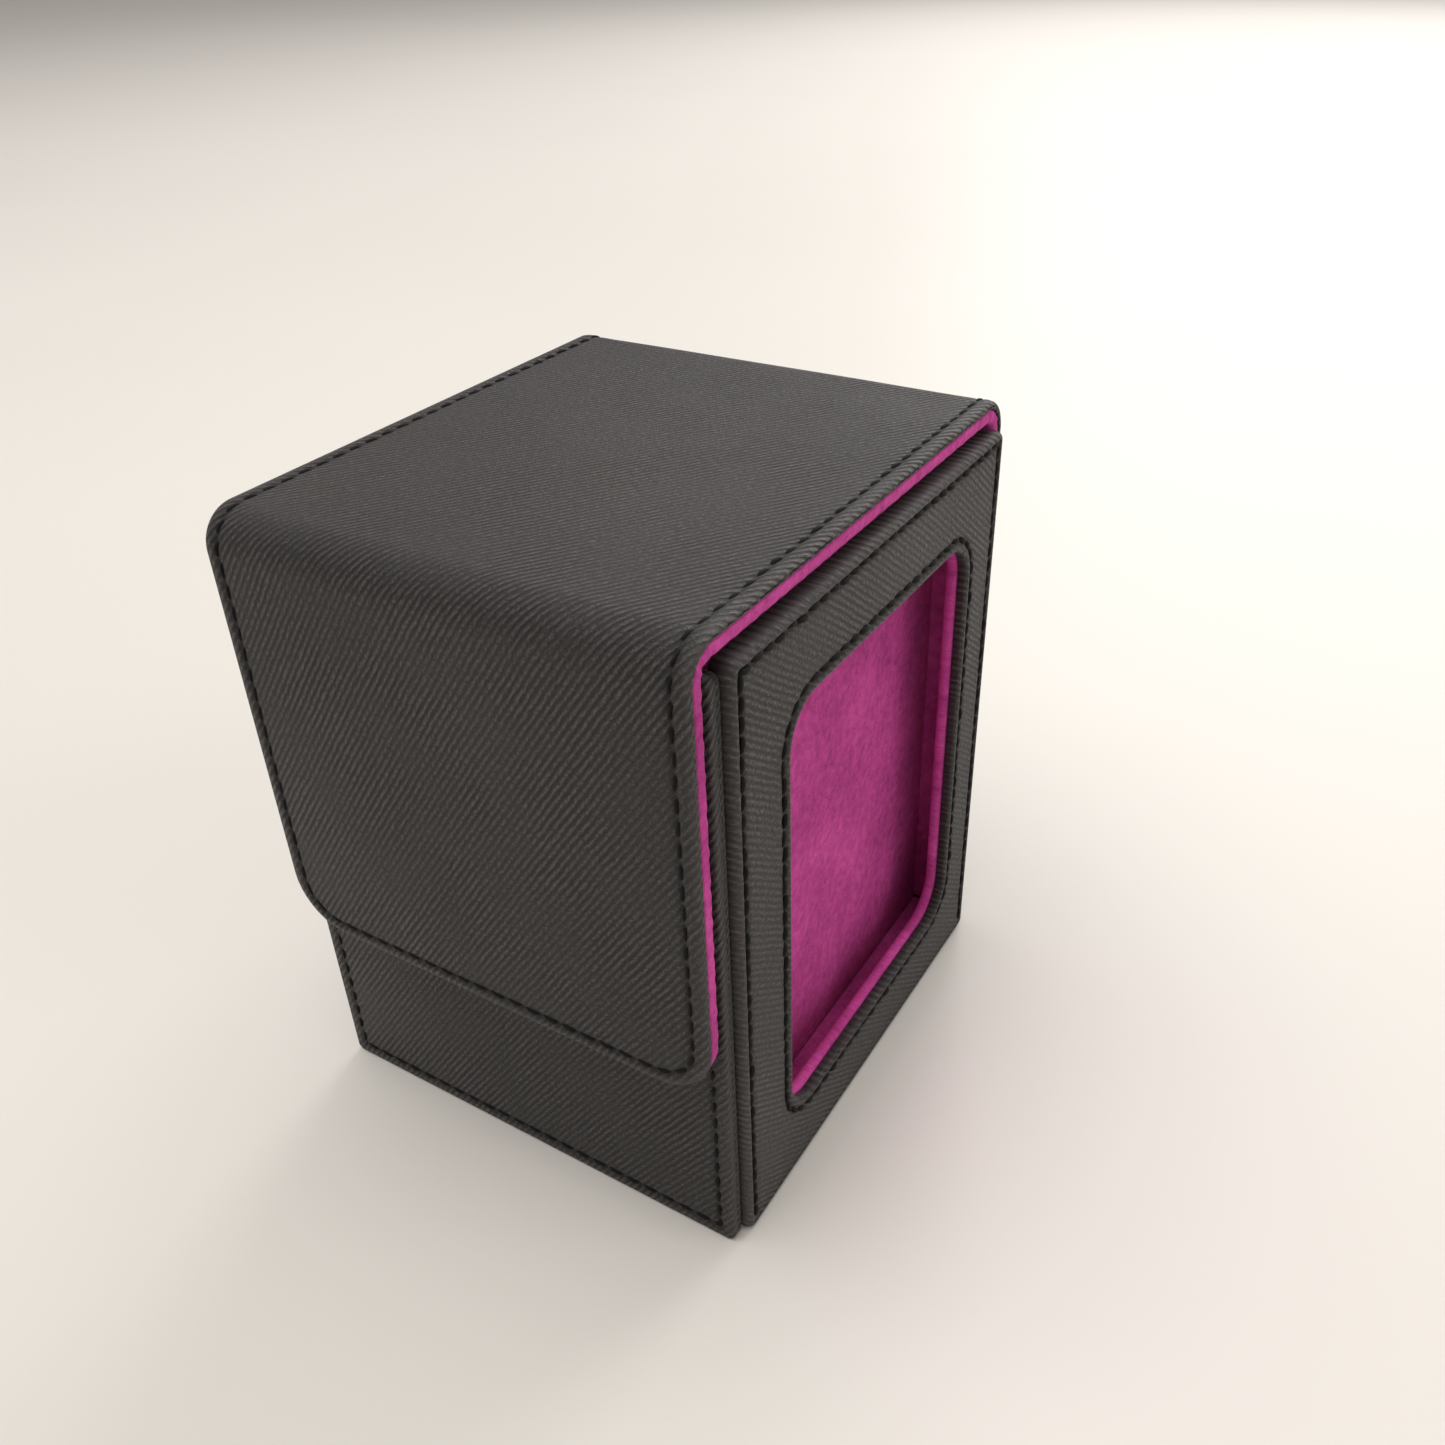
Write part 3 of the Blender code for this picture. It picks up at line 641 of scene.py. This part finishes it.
# %% Thread, board and magnet
def plain_finish(name, roughness, specular, dark, light, scale, detail=3.0, rough_noise=0.5):
    """A finish whose colour goes from dark to light along one noise on Object coordinates."""
    material, tree, shader = start_material(name, roughness, specular)
    vector = node(tree, "ShaderNodeTexCoord").outputs["Object"]
    colour = ramp(tree, noise(tree, vector, scale, detail, rough_noise), ((0.3, dark), (0.7, light)))
    link(tree, colour, shader.inputs["Base Color"])
    return material, tree, shader, vector


thread, tree, shader, vector = plain_finish(
    "waxed_thread", 0.7, 0.2, dark=(0.0015, 0.0015, 0.0015), light=(0.006, 0.0055, 0.0055), scale=1800.0
)
link(tree, bump(tree, noise(tree, vector, 5000.0), 0.05 * MM, 0.5), shader.inputs["Normal"])
board, *_ = plain_finish(
    "grey_board", 0.9, 0.2, dark=(0.22, 0.21, 0.19), light=(0.38, 0.36, 0.33), scale=700.0, detail=5.0, rough_noise=0.7
)
magnet, _, shader, _ = plain_finish(
    "nickel_plate", 0.3, 0.5, dark=(0.52, 0.51, 0.48), light=(0.66, 0.65, 0.62), scale=400.0
)
shader.inputs["Metallic"].default_value = 1.0
finishes = {"suede": suede_flat, "board": board, "magnet": magnet, "thread": thread, "leather": leather_wall}
slots = {entry["node"]: entry["material_slot"] for entry in frame["record"]["subparts"]}
for name, shown in frame["nodes"].items():
    shown.data.materials.clear()
    shown.data.materials.append(finishes[slots[name]])
print("finishes on", len(slots), "nodes")

# %% [markdown]
# ## Walls
#
# The box is five stiff panels: board with leatherette turned over it. Each starts from the place of its own node in
# the model, so nothing here has to be fitted by eye.

# %% Read the places of the walls
def corners(node_name):
    """The lowest and highest corner of a node, as two arrays."""
    low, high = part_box(node_name)
    return np.array(low), np.array(high)


front_low, front_high = corners("front_leather")
left_low, left_high = corners("left_leather")
back_low, back_high = corners("back_leather")
bottom_low, bottom_high = corners("bottom_leather")
panel_low, panel_high = corners("panel_leather")
BACK = back_high[1]
print("front wall in mm:", np.round((front_high - front_low) / MM, 1))

# %% [markdown]
# A small function for each wall says where a flat place and a depth are in space. Depth goes inwards from the
# wall's outer face. One function that turns a wall by a matrix would do too, but these five read as what they are.

# %% Where the flat sheets lie
def on_front(u, v, depth):
    """U to the right, V up, depth to the back."""
    return np.stack([u, front_low[1] + depth, v], axis=-1)


def on_left(u, v, depth):
    """U to the back, V up, depth to the right."""
    return np.stack([left_low[0] + depth, u, v], axis=-1)


def on_back(u, v, depth):
    """U to the right, V up, depth to the front."""
    return np.stack([u, BACK - depth, v], axis=-1)


def on_bottom(u, v, depth):
    """U to the right, V to the back, depth up."""
    return np.stack([u, v, bottom_low[2] + depth], axis=-1)


def on_panel(u, v, depth):
    """U to the back, V up, depth to the left."""
    return np.stack([panel_high[0] - depth, u, v], axis=-1)


print("outer faces of the left wall and the panel in mm:", np.round([left_low[0] / MM, panel_high[0] / MM], 1))

# %% [markdown]
# The front and left walls show their turned edges and seams. The back wall is covered by the cover's sheet and the
# bottom stands on the table, so those two have no seam. They are drawn with the same section, only plainer.

# %% The front, left, back and bottom walls
WALL_THICKNESS = front_high[1] - front_low[1] + 0.05 * MM
WALL_CORNER = 1.3 * MM
FRONT_WIDER = 0.45 * MM
EDGE_HIGHLIGHT = 0.06
EDGE_CREASE = 0.14 * MM
COVER_LEATHER = 1.1 * MM


def wall(name, low, high, place, node_name, **section):
    """A turned sheet with small round corners in place of its node. It returns the outline for the seam."""
    outline = Outline(low, high, [WALL_CORNER] * 4)
    piece = sheet_object(name, turned_sheet(outline, place, **section), leather_wall, "box")
    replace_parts(piece, node_name)
    return outline


front_outline = wall(
    "front_wall", front_low[[0, 2]], front_high[[0, 2]] + [FRONT_WIDER, 0], on_front, "front_leather",
    thickness=WALL_THICKNESS, roll=0.55 * MM, wear=EDGE_HIGHLIGHT, crease=EDGE_CREASE,
)
left_outline = wall(
    "left_wall", left_low[[1, 2]], left_high[[1, 2]], on_left, "left_leather",
    thickness=WALL_THICKNESS, roll=0.8 * MM, wear=EDGE_HIGHLIGHT, crease=EDGE_CREASE,
)
wall(
    "back_wall", back_low[[0, 2]], back_high[[0, 2]], lambda u, v, depth: on_back(u, v, depth + COVER_LEATHER),
    "back_leather", thickness=WALL_THICKNESS - COVER_LEATHER, roll=0.5 * MM, **NO_SEAM,
)
wall(
    "bottom_wall", bottom_low[:2], bottom_high[:2], on_bottom, "bottom_leather",
    thickness=bottom_high[2] - bottom_low[2], roll=0.6 * MM, wave=0.0, **NO_SEAM,
)

# %% [markdown]
# The seam runs all round each wall, the same distance in from its edge. It holds the turned leather to the board, so
# the stitches follow an outline of the same sheet, and sit in the groove that the sheet already has there.

# %% The walls' stitches
SEAM_LEVEL = 0.14 * MM
front_row = stitches("front_stitches", front_outline.at(SEAM_INSET), on_front, "box", SEAM_LEVEL)
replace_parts(front_row, "front_thread")
left_row = stitches("left_stitches", left_outline.at(SEAM_INSET), on_left, "box", SEAM_LEVEL)
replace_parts(left_row, "left_thread")

# %% [markdown]
# ## The cover
#
# The cover is one long sheet. Its flat length is measured from the flap's lower edge: up the flap, round the front
# fold, back over the top, round the back fold and down the back. The path is made of straight runs and quarter
# circles. A depth under the sheet's outer face makes the circles smaller, so board and lining bend with it.

# %% The path of the cover
lid_low, lid_high = corners("lid_leather")
lid_in_low, _ = corners("lid_lining")
flap_low, _ = corners("flap_leather")
fold_low, _ = corners("hinge_fold_leather")
TOP = lid_high[2]
FLAP_FACE = flap_low[1]
FOLD_RADIUS = TOP - fold_low[2]
COVER_DEPTH = TOP - lid_in_low[2]
FOOT_GAP = 0.4 * MM

RUN_FLAP = (TOP - FOLD_RADIUS) - flap_low[2]
RUN_FOLD = FOLD_RADIUS * math.pi / 2
RUN_LID = (BACK - FOLD_RADIUS) - (FLAP_FACE + FOLD_RADIUS)
RUN_BACK = TOP - FOLD_RADIUS - FOOT_GAP
STOPS = np.cumsum([0.0, RUN_FLAP, RUN_FOLD, RUN_LID, RUN_FOLD, RUN_BACK])
MIDDLE = (STOPS[2] + STOPS[3]) / 2


def on_cover(u, v, depth):
    """Places for flat places on the cover: straight up, a quarter circle, level, a quarter circle, straight down."""
    front_turn = np.clip((v - STOPS[1]) / FOLD_RADIUS, 0, math.pi / 2)
    back_turn = np.clip((v - STOPS[3]) / FOLD_RADIUS, 0, math.pi / 2)
    up = np.minimum(v, STOPS[1])
    level = np.clip(v, STOPS[2], STOPS[3]) - STOPS[2]
    down = np.maximum(v - STOPS[4], 0)
    radius = FOLD_RADIUS - depth
    y = FLAP_FACE + FOLD_RADIUS - radius * np.cos(front_turn) + level + radius * np.sin(back_turn)
    z = flap_low[2] + up + radius * np.sin(front_turn) - radius * (1 - np.cos(back_turn)) - down
    return np.stack([u, y, z], axis=-1)


print("flat length of the cover in mm:", round(STOPS[-1] / MM, 1))

# %% [markdown]
# The cover bends at two hinges, and a piece can bend across only one. The finished sheet is cut across the middle of
# the lid, where it is flat and stiff, and each half holds one of the two folds.

# %% The cover's leather
FLAP_CORNER = 9.0 * MM
BACK_CORNER = 2.0 * MM
x_low, x_high = lid_low[0], lid_high[0]
cover_outline = Outline((x_low, 0.0), (x_high, STOPS[-1]), [FLAP_CORNER, FLAP_CORNER, BACK_CORNER, BACK_CORNER])


def front_bend(obj):
    """Bakes the piece's transform into its mesh."""
    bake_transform(obj)


def back_bend(obj):
    """Bakes the piece's transform into its mesh."""
    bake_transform(obj)


def in_front(u, v):
    """The flap's half of the cover."""
    return v < MIDDLE


def behind(u, v):
    """The back's half of the cover."""
    return v >= MIDDLE


cover = turned_sheet(cover_outline, on_cover, COVER_LEATHER, roll=0.75 * MM, puff=0.12 * MM, wave=0.10 * MM, wear=0.07)
front_half = sheet_object("cover_front_leather", cover, leather_cover, None, wanted=in_front)
front_bend(front_half)
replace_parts(front_half, "lid_leather", "flap_fold_leather", "flap_leather")
back_half = sheet_object("cover_back_leather", cover, leather_cover, None, wanted=behind)
back_bend(back_half)
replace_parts(back_half, "hinge_fold_leather")

# %% [markdown]
# One seam runs round the whole cover. Its stitches are laid along the flat sheet and carried round the folds with it.
# They are cut into two rows at the same line as the leather, one for each half.

# %% The cover's stitches
seam_path = cover_outline.at(SEAM_INSET)
row = stitches("cover_front_stitches", seam_path, on_cover, None, SEAM_LEVEL, in_front)
front_bend(row)
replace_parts(row, "flap_thread", "lid_thread_left")
row = stitches("cover_back_stitches", seam_path, on_cover, None, SEAM_LEVEL, behind)
back_bend(row)
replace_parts(row, "back_thread", "lid_thread_right")

# %% [markdown]
# The lining is a thick suede that ends just inside the leather's edge, so it shows as a bright line all round. Its cut
# edge is a little fuzzy, and where it turns the tight front fold it kinks inwards. It goes round the back fold
# and stops there, glued into the top of the back wall.

# %% The cover's lining
LINING_END = STOPS[4] + 0.5 * MM
LINING_GAP = 0.2 * MM
LINING_SIDE = 0.15 * MM
LINING_FOOT = 0.2 * MM
LINING_CORNER = 0.5 * MM
FUZZ = 0.05 * MM
KINK = 0.22 * MM
KINK_WIDTH = 1.2 * MM
EDGE_START = 33 * MM
EDGE_BAND = 3 * MM
lining_outline = Outline(
    (x_low + LINING_SIDE, LINING_FOOT), (x_high - LINING_SIDE, LINING_END),
    [FLAP_CORNER, FLAP_CORNER, LINING_CORNER, LINING_CORNER],
)


def on_cover_lining(u, v, depth):
    """The cover's path with depth measured from its inner face.

    Near the sides u is shifted by two crossed sine waves, the fuzz, and by a bell curve at the fold, the kink.
    """
    fuzz = FUZZ * (np.sin(v * 2900 + u * 900) + np.sin(v * 1700 + 1.3))
    kink = KINK * np.exp(-((v - (STOPS[1] + STOPS[2]) / 2) / KINK_WIDTH) ** 2)
    near_side = np.clip((np.abs(u) - EDGE_START) / EDGE_BAND, 0, 1)
    return on_cover(u + (fuzz - kink) * np.sign(u) * near_side, v, COVER_DEPTH - depth)


lining = turned_sheet(
    lining_outline, on_cover_lining, COVER_DEPTH - COVER_LEATHER - LINING_GAP,
    roll=0.95 * MM, wave=0.05 * MM, **NO_SEAM,
)
front_half = sheet_object("cover_front_lining", lining, suede_sheet, None, wanted=in_front)
front_bend(front_half)
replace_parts(front_half, "lid_lining", "flap_fold_lining", "flap_lining")
back_half = sheet_object("cover_back_lining", lining, suede_sheet, None, wanted=behind)
back_bend(back_half)
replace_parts(back_half, "hinge_fold_lining")

# %% [markdown]
# Grey board stiffens the lid, the flap and the back wall. Each board lies between the leather and the suede and ends
# short of the folds, which is why the folds stay soft. It could be left out, because it is closed in, but a sheet that
# is lifted in another scene should have something in it.

# %% The boards
BOARD_MARGIN = 2.5 * MM
BOARD_DEPTH = 1.6 * MM
BOARD_THICKNESS = 1.1 * MM
BOARD_EDGE = 0.1 * MM
BACK_BOARD_DEPTH = COVER_LEATHER + 0.15 * MM
BACK_BOARD_THICKNESS = 0.8 * MM


def stiffener(name, outline, place, thickness, body):
    """A flat board in place of its node: a turned sheet with nearly square edges, no seam and no waviness."""
    grid = turned_sheet(outline, place, thickness, roll=BOARD_EDGE, wave=0.0, **NO_SEAM)
    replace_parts(sheet_object(name, grid, board, body), name.replace("_stiffener", "_board"))


def in_cover(u, v, depth):
    """The cover's path, starting from the board's outer face."""
    return on_cover(u, v, BOARD_DEPTH + depth)


def in_back(u, v, depth):
    """The back wall, starting from its board's outer face."""
    return on_back(u, v, BACK_BOARD_DEPTH + depth)


back_outline = Outline(back_low[[0, 2]] + BOARD_MARGIN, back_high[[0, 2]] - BOARD_MARGIN, [MM] * 4)
stiffener("back_stiffener", back_outline, in_back, BACK_BOARD_THICKNESS, "box")
board_left, board_right = x_low + BOARD_MARGIN, x_high - BOARD_MARGIN
board_corner = FLAP_CORNER - BOARD_MARGIN
flap_outline = Outline(
    (board_left, BOARD_MARGIN), (board_right, STOPS[1] - BOARD_MARGIN), [board_corner, board_corner, MM, MM]
)
stiffener("flap_stiffener", flap_outline, in_cover, BOARD_THICKNESS, "flap")
lid_outline = Outline((board_left, STOPS[2] + BOARD_MARGIN), (board_right, STOPS[3] - BOARD_MARGIN), [MM] * 4)
stiffener("lid_stiffener", lid_outline, in_cover, BOARD_THICKNESS, "lid")

# %% [markdown]
# The divider between the deck and the card behind the window is a board wrapped in suede. Its right face is what
# shows through the window. It could be a board with a sheet on each side, but then its raw top edge would show. The
# wrap is tucked a little into the walls' linings, as glue would hold it.

# %% The divider
divider_low, _ = corners("divider_lining_deck")
_, divider_high = corners("divider_lining_slot")
DIVIDER_RISE = 0.7 * MM
DIVIDER_TUCK = 0.9 * MM
DIVIDER_CORNER = 0.4 * MM


def on_divider(u, v, depth):
    """U to the back, V up, depth to the left from the face behind the window."""
    return np.stack([divider_high[0] - depth, u, v], axis=-1)


divider_outline = Outline(
    divider_low[1:] - DIVIDER_TUCK, divider_high[1:] + [DIVIDER_TUCK, DIVIDER_RISE], [DIVIDER_CORNER] * 4
)
grid = turned_sheet(
    divider_outline, on_divider, divider_high[0] - divider_low[0], roll=0.9 * MM, wave=0.06 * MM, **NO_SEAM
)
piece = sheet_object("divider_suede", grid, suede_flat, "box")
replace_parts(piece, "divider_lining_deck", "divider_lining_slot")

# %% [markdown]
# ## The window panel
#
# The panel is a frame: leatherette on a board, turned over outside and cut round the window, with suede behind it. It
# could be a plate with a hole cut by a Boolean, but that leaves no rows of points along the window for its rolled
# edge. So it is made from two outlines: the panel's own, and the window's, with the same number of points.

# %% The outlines of the panel and its window
WINDOW_SEAM = 1.9 * MM
PANEL_SEAM = 1.8 * MM
THREAD_HALF = 0.25 * MM
PANEL_RISE = 0.8 * MM
PANEL_FOOT = 0.05 * MM
PANEL_CORNER = 1.6 * MM
WINDOW_CORNER = 6.5 * MM
window_seam_low, window_seam_high = corners("window_thread")
window_low = window_seam_low[1:] + THREAD_HALF + WINDOW_SEAM
window_high = window_seam_high[1:] - THREAD_HALF - WINDOW_SEAM
panel_outline = Outline(panel_low[1:] + [0, PANEL_FOOT], panel_high[1:] + [0, PANEL_RISE], [PANEL_CORNER] * 4)
window_outline = Outline(window_low, window_high, [WINDOW_CORNER] * 4)
window_outline.counts = panel_outline.counts
print("window in mm:", np.round((window_high - window_low) / MM, 1))

# %% [markdown]
# A frame is a stack of outlines too. The first ones follow its outer edge, the last ones follow the window, and those
# between pass from the one to the other. Along the window's front side and top the leather's cut edge is painted
# pale, a painted highlight. Along the floor the panel's seam stops.

# %% Make a frame from two sections
BETWEEN = 6
FAR = 1.0
PANEL_GROOVE = 0.36 * MM
FACE_DEPTH = 1.2 * MM
RIM_HIGHLIGHT_REACH = 4 * MM
RIM_HIGHLIGHT_START = 8 * MM
RIM_HIGHLIGHT_FROM = 0.06
SEAM_FOOT = 2.3 * MM


def rows(insets, depths, wear=0.0):
    """Rows of a section in millimetres: inset, depth and the edge mark for a painted highlight, side by side."""
    return np.stack(np.broadcast_arrays(np.array(insets, float), depths, wear), axis=1)


def frame_grid(outer_rows, window_rows, place, seams):
    """Ring of outlines: outer_rows lie inside the outer edge and window_rows lie outside the window's edge.

    Between them lie straight mixes of the last outer outline and the first window outline.
    """
    outer = outer_rows * [MM, MM, 1]
    inner = window_rows * [MM, MM, 1]
    outer_lines = np.array([panel_outline.at(inset) for inset in outer[:, 0]])
    inner_lines = np.array([window_outline.at(-outset) for outset in inner[:, 0]])
    share = np.linspace(0, 1, BETWEEN + 2)[1:-1]
    between = outer_lines[-1] * (1 - share[:, None, None]) + inner_lines[0] * share[:, None, None]
    lines = np.concatenate([outer_lines, between, inner_lines])
    middle_depths = outer[-1, 1] * (1 - share) + inner[0, 1] * share
    depths = np.concatenate([outer[:, 1], middle_depths, inner[:, 1]])[:, None]
    wear = np.concatenate([outer[:, 2], np.zeros(BETWEEN), inner[:, 2]])[:, None]
    distance = np.concatenate([outer[:, 0] - PANEL_SEAM, np.full(BETWEEN, FAR), inner[:, 0] - WINDOW_SEAM])
    number = np.arange(len(lines))[:, None]
    along = np.where(
        number < len(outer) + BETWEEN // 2,
        lengths_along(panel_outline.at(PANEL_SEAM)),
        lengths_along(window_outline.at(-WINDOW_SEAM)),
    )
    valley = seam_valley(distance[:, None], along) * (depths < FACE_DEPTH) * seams
    u, v = lines[..., 0], lines[..., 1]
    # Painted highlight: the cut edge at the window stays pale only along its front side and top.
    front_side = (u < window_low[0] + RIM_HIGHLIGHT_REACH) & (v > window_low[1] + RIM_HIGHLIGHT_START)
    top_side = (v > window_high[1] - RIM_HIGHLIGHT_REACH) & (u < window_high[0] - RIM_HIGHLIGHT_START)
    wear = np.where(front_side | top_side | (wear < RIM_HIGHLIGHT_FROM), wear, 0.0)
    below_seam = (v < panel_low[2] + SEAM_FOOT) & (number < len(outer))
    valley = np.where(below_seam, 0.0, valley)
    return Grid(lines, depths + PANEL_GROOVE * valley, lines, valley, wear, place)


print("outlines between edge and window:", BETWEEN)

# %% [markdown]
# The leather starts behind the board, turns over its outer edge in a quarter of an ellipse, dips at the seam and lies
# flat. At the window it puffs up between the seam and the cut, and is tucked in behind. The sections were drawn one
# by one, because a puff beside a pulled seam is lopsided and no simple curve gives it.

# %% The panel's leather
quarter = np.linspace(0, math.pi / 2, 8)
behind_board = rows([2.6, 0.5, 0.1, 0.0, -0.04], [3.4, 3.4, 3.2, 2.8, 2.0])
# The third column is a painted highlight, small along the rolled outer edge.
over_edge = rows(0.96 * (1 - np.cos(quarter)) - 0.04, 1.3 * (1 - np.sin(quarter)) - 0.1, 0.05)
over_seam = rows(
    [1.05, 1.2, 1.35, 1.5, 1.65, 1.8, 2.0, 2.2, 2.5, 3.0, 4.0], [-0.10, -0.08, 0, 0.04, 0.04, 0.04, 0.03, 0, 0, 0, 0]
)
to_window = rows([4.0, 3.0, 2.6, 2.3, 2.1, 1.9, 1.7, 1.5], [0, 0, 0, 0, 0.03, 0.04, 0.03, 0])
# The third column paints the cut edge pale, a painted highlight.
raw_edge = rows(
    [1.2, 0.9, 0.6, 0.36, 0.18, 0.05, 0.0],
    [-0.08, -0.12, -0.10, -0.02, 0.10, 0.25, 0.45],
    [0, 0, 0, 0.2, 0.8, 1.0, 0.3],
)
tucked_in = rows([0.0, 0.0, 0.1, 0.5, 2.6], [0.7, 1.2, 1.45, 1.5, 1.5])
panel = frame_grid(
    np.concatenate([behind_board, over_edge, over_seam]),
    np.concatenate([to_window, raw_edge, tucked_in]),
    on_panel, 1.0,
)
piece = sheet_object("panel_leather_frame", panel, leather_panel, "box", ring=True)
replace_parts(piece, "panel_leather")

# %% [markdown]
# The panel's lining shows as a soft bright roll just inside the window. It is folded over the board's inner edge, so
# its section bulges past the leather there. Outside it stays clear of the leather's turned edge.

# %% The panel's lining
lining_outside = rows([2.8, 2.0, 1.8, 1.8, 2.1, 2.6, 4.0], [1.6, 1.7, 1.9, 3.2, 3.45, 3.5, 3.5])
lining_flat = rows([4.0, 2.0, 1.2], 3.5)
lining_roll = rows(
    [0.5, 0.1, -0.15, -0.3, -0.34, -0.28, -0.12, 0.15, 0.6, 2.6],
    [3.48, 3.38, 3.15, 2.8, 2.45, 2.1, 1.8, 1.6, 1.55, 1.55],
)
panel = frame_grid(lining_outside, np.concatenate([lining_flat, lining_roll]), on_panel, 0.0)
piece = sheet_object("panel_suede_frame", panel, suede_sheet, "box", ring=True)
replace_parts(piece, "panel_lining")

# %% [markdown]
# The panel's thread is pulled tighter than the cover's, so its stitches nearly touch and wander a little. One row
# follows the outer edge down to the floor and one goes all round the window.

# %% The panel's stitches
PANEL_LEVEL = 0.16 * MM
SEAM_END = 2.6 * MM
tight = {"wobble": 0.15 * MM, "pitch": 2.7 * MM, "thick": 0.45 * MM, "fill": 1.0}


def above_floor(u, v):
    """The part of the outer seam that is stitched."""
    return v > panel_low[2] + SEAM_END


row = stitches("panel_stitches", panel_outline.at(PANEL_SEAM), on_panel, "box", PANEL_LEVEL, above_floor, **tight)
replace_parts(row, "panel_thread")
row = stitches("window_stitches", window_outline.at(-WINDOW_SEAM), on_panel, "box", PANEL_LEVEL, **tight)
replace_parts(row, "window_thread")

# %% [markdown]
# ## Floor, light and camera
#
# The box stands on a plain pale table. A single large face is enough: its colour varies so little that only the box's
# soft shadow is seen on it. It isn't part of the object.

# %% The floor
FLOOR_REACH = 6.0
FLOOR_STOPS = ((0.3, (0.70, 0.675, 0.635)), (0.7, (0.72, 0.695, 0.655)))


def floor():
    """One square face at height 0 with its own pale finish."""
    mesh = bpy.data.meshes.new("floor")
    low, high = -FLOOR_REACH, FLOOR_REACH
    mesh.from_pydata([(low, low, 0), (high, low, 0), (high, high, 0), (low, high, 0)], [], [(0, 1, 2, 3)])
    obj = bpy.data.objects.new("floor", mesh)
    bpy.context.scene.collection.objects.link(obj)
    material, tree, shader = start_material("floor", 0.45, 0.3)
    vector = node(tree, "ShaderNodeTexCoord").outputs["Object"]
    link(tree, ramp(tree, noise(tree, vector, 3.0), FLOOR_STOPS), shader.inputs["Base Color"])
    mesh.materials.append(material)


floor()
print("floor reaches", FLOOR_REACH, "m each way")

# %% [markdown]
# Black leather shows mostly what it reflects, so its light is the most of its look. A large lamp overhead gives the
# soft shadow, one low behind is what the top reflects, and two weak ones fill the window's side. One bright lamp
# would be simpler, but its glare would hide the ribs on one side and lose them on the other. The standard view
# transform keeps the magenta as strong as the suede's own colour.

# %% The light
def area_light(name, place, target, size, power, colour):
    """A square lamp of size metres at place, turned to face target."""
    data = bpy.data.lights.new(name, "AREA")
    data.energy = power
    data.size = size
    data.color = colour
    obj = bpy.data.objects.new(name, data)
    bpy.context.scene.collection.objects.link(obj)
    obj.location = place
    obj.rotation_euler = (Vector(target) - Vector(place)).to_track_quat("-Z", "Y").to_euler()


MID_BOX = (0, 0, 0.05)
area_light("ceiling", (-0.35, -0.35, 1.7), MID_BOX, size=1.6, power=23.0, colour=(1.0, 0.98, 0.95))
area_light("behind", (0.0, 1.5, 0.95), (0, 0, 0.08), size=1.3, power=19.0, colour=(1.0, 0.98, 0.97))
area_light("window_side", (1.4, 0.3, 0.9), MID_BOX, size=1.0, power=5.0, colour=(1.0, 0.95, 0.89))
area_light("front_right", (1.2, -1.1, 0.9), MID_BOX, size=1.0, power=0.8, colour=(1.0, 0.96, 0.92))
world = bpy.data.worlds.new("room")
bpy.context.scene.world = world
world.use_nodes = True
room = world.node_tree.nodes["Background"]
room.inputs["Color"].default_value = (0.86, 0.82, 0.79, 1.0)
room.inputs["Strength"].default_value = 0.42
bpy.context.scene.view_settings.view_transform = "Standard"
print("lamps:", len(bpy.data.lights))

# %% [markdown]
# The camera is near, as a hand holds it, and looks down at one corner, so the box shows strong perspective. It is
# turned a little about its own axis. A longer lens from further off would draw the box's sides more nearly parallel.

# %% The camera
def make_camera(place, azimuth, elevation, roll, lens):
    """A camera at place that looks down at the box. Angles are in degrees and roll turns it about its own axis.

    Its three axes are found from the angles: backward by sines and cosines, right level, and up across both.
    """
    a, e, r = np.radians([azimuth, elevation, roll])
    backward = np.array([math.sin(a) * math.cos(e), -math.cos(a) * math.cos(e), math.sin(e)])
    right = np.array([math.cos(a), math.sin(a), 0.0])
    up = np.cross(backward, right)
    x_axis = math.cos(r) * right + math.sin(r) * up
    y_axis = -math.sin(r) * right + math.cos(r) * up
    data = bpy.data.cameras.new("camera")
    data.sensor_width = 36.0
    data.lens = lens
    data.clip_start = 0.01
    data.clip_end = 50.0
    obj = bpy.data.objects.new("camera", data)
    turn = Matrix(np.stack([x_axis, y_axis, backward], axis=1).tolist()).to_4x4()
    obj.matrix_world = Matrix.Translation(place) @ turn
    bpy.context.scene.collection.objects.link(obj)
    bpy.context.scene.camera = obj


make_camera((0.10482, -0.14073, 0.17275), azimuth=32.903, elevation=33.389, roll=-2.271, lens=32.765)
print("lens in mm:", round(bpy.context.scene.camera.data.lens, 1))
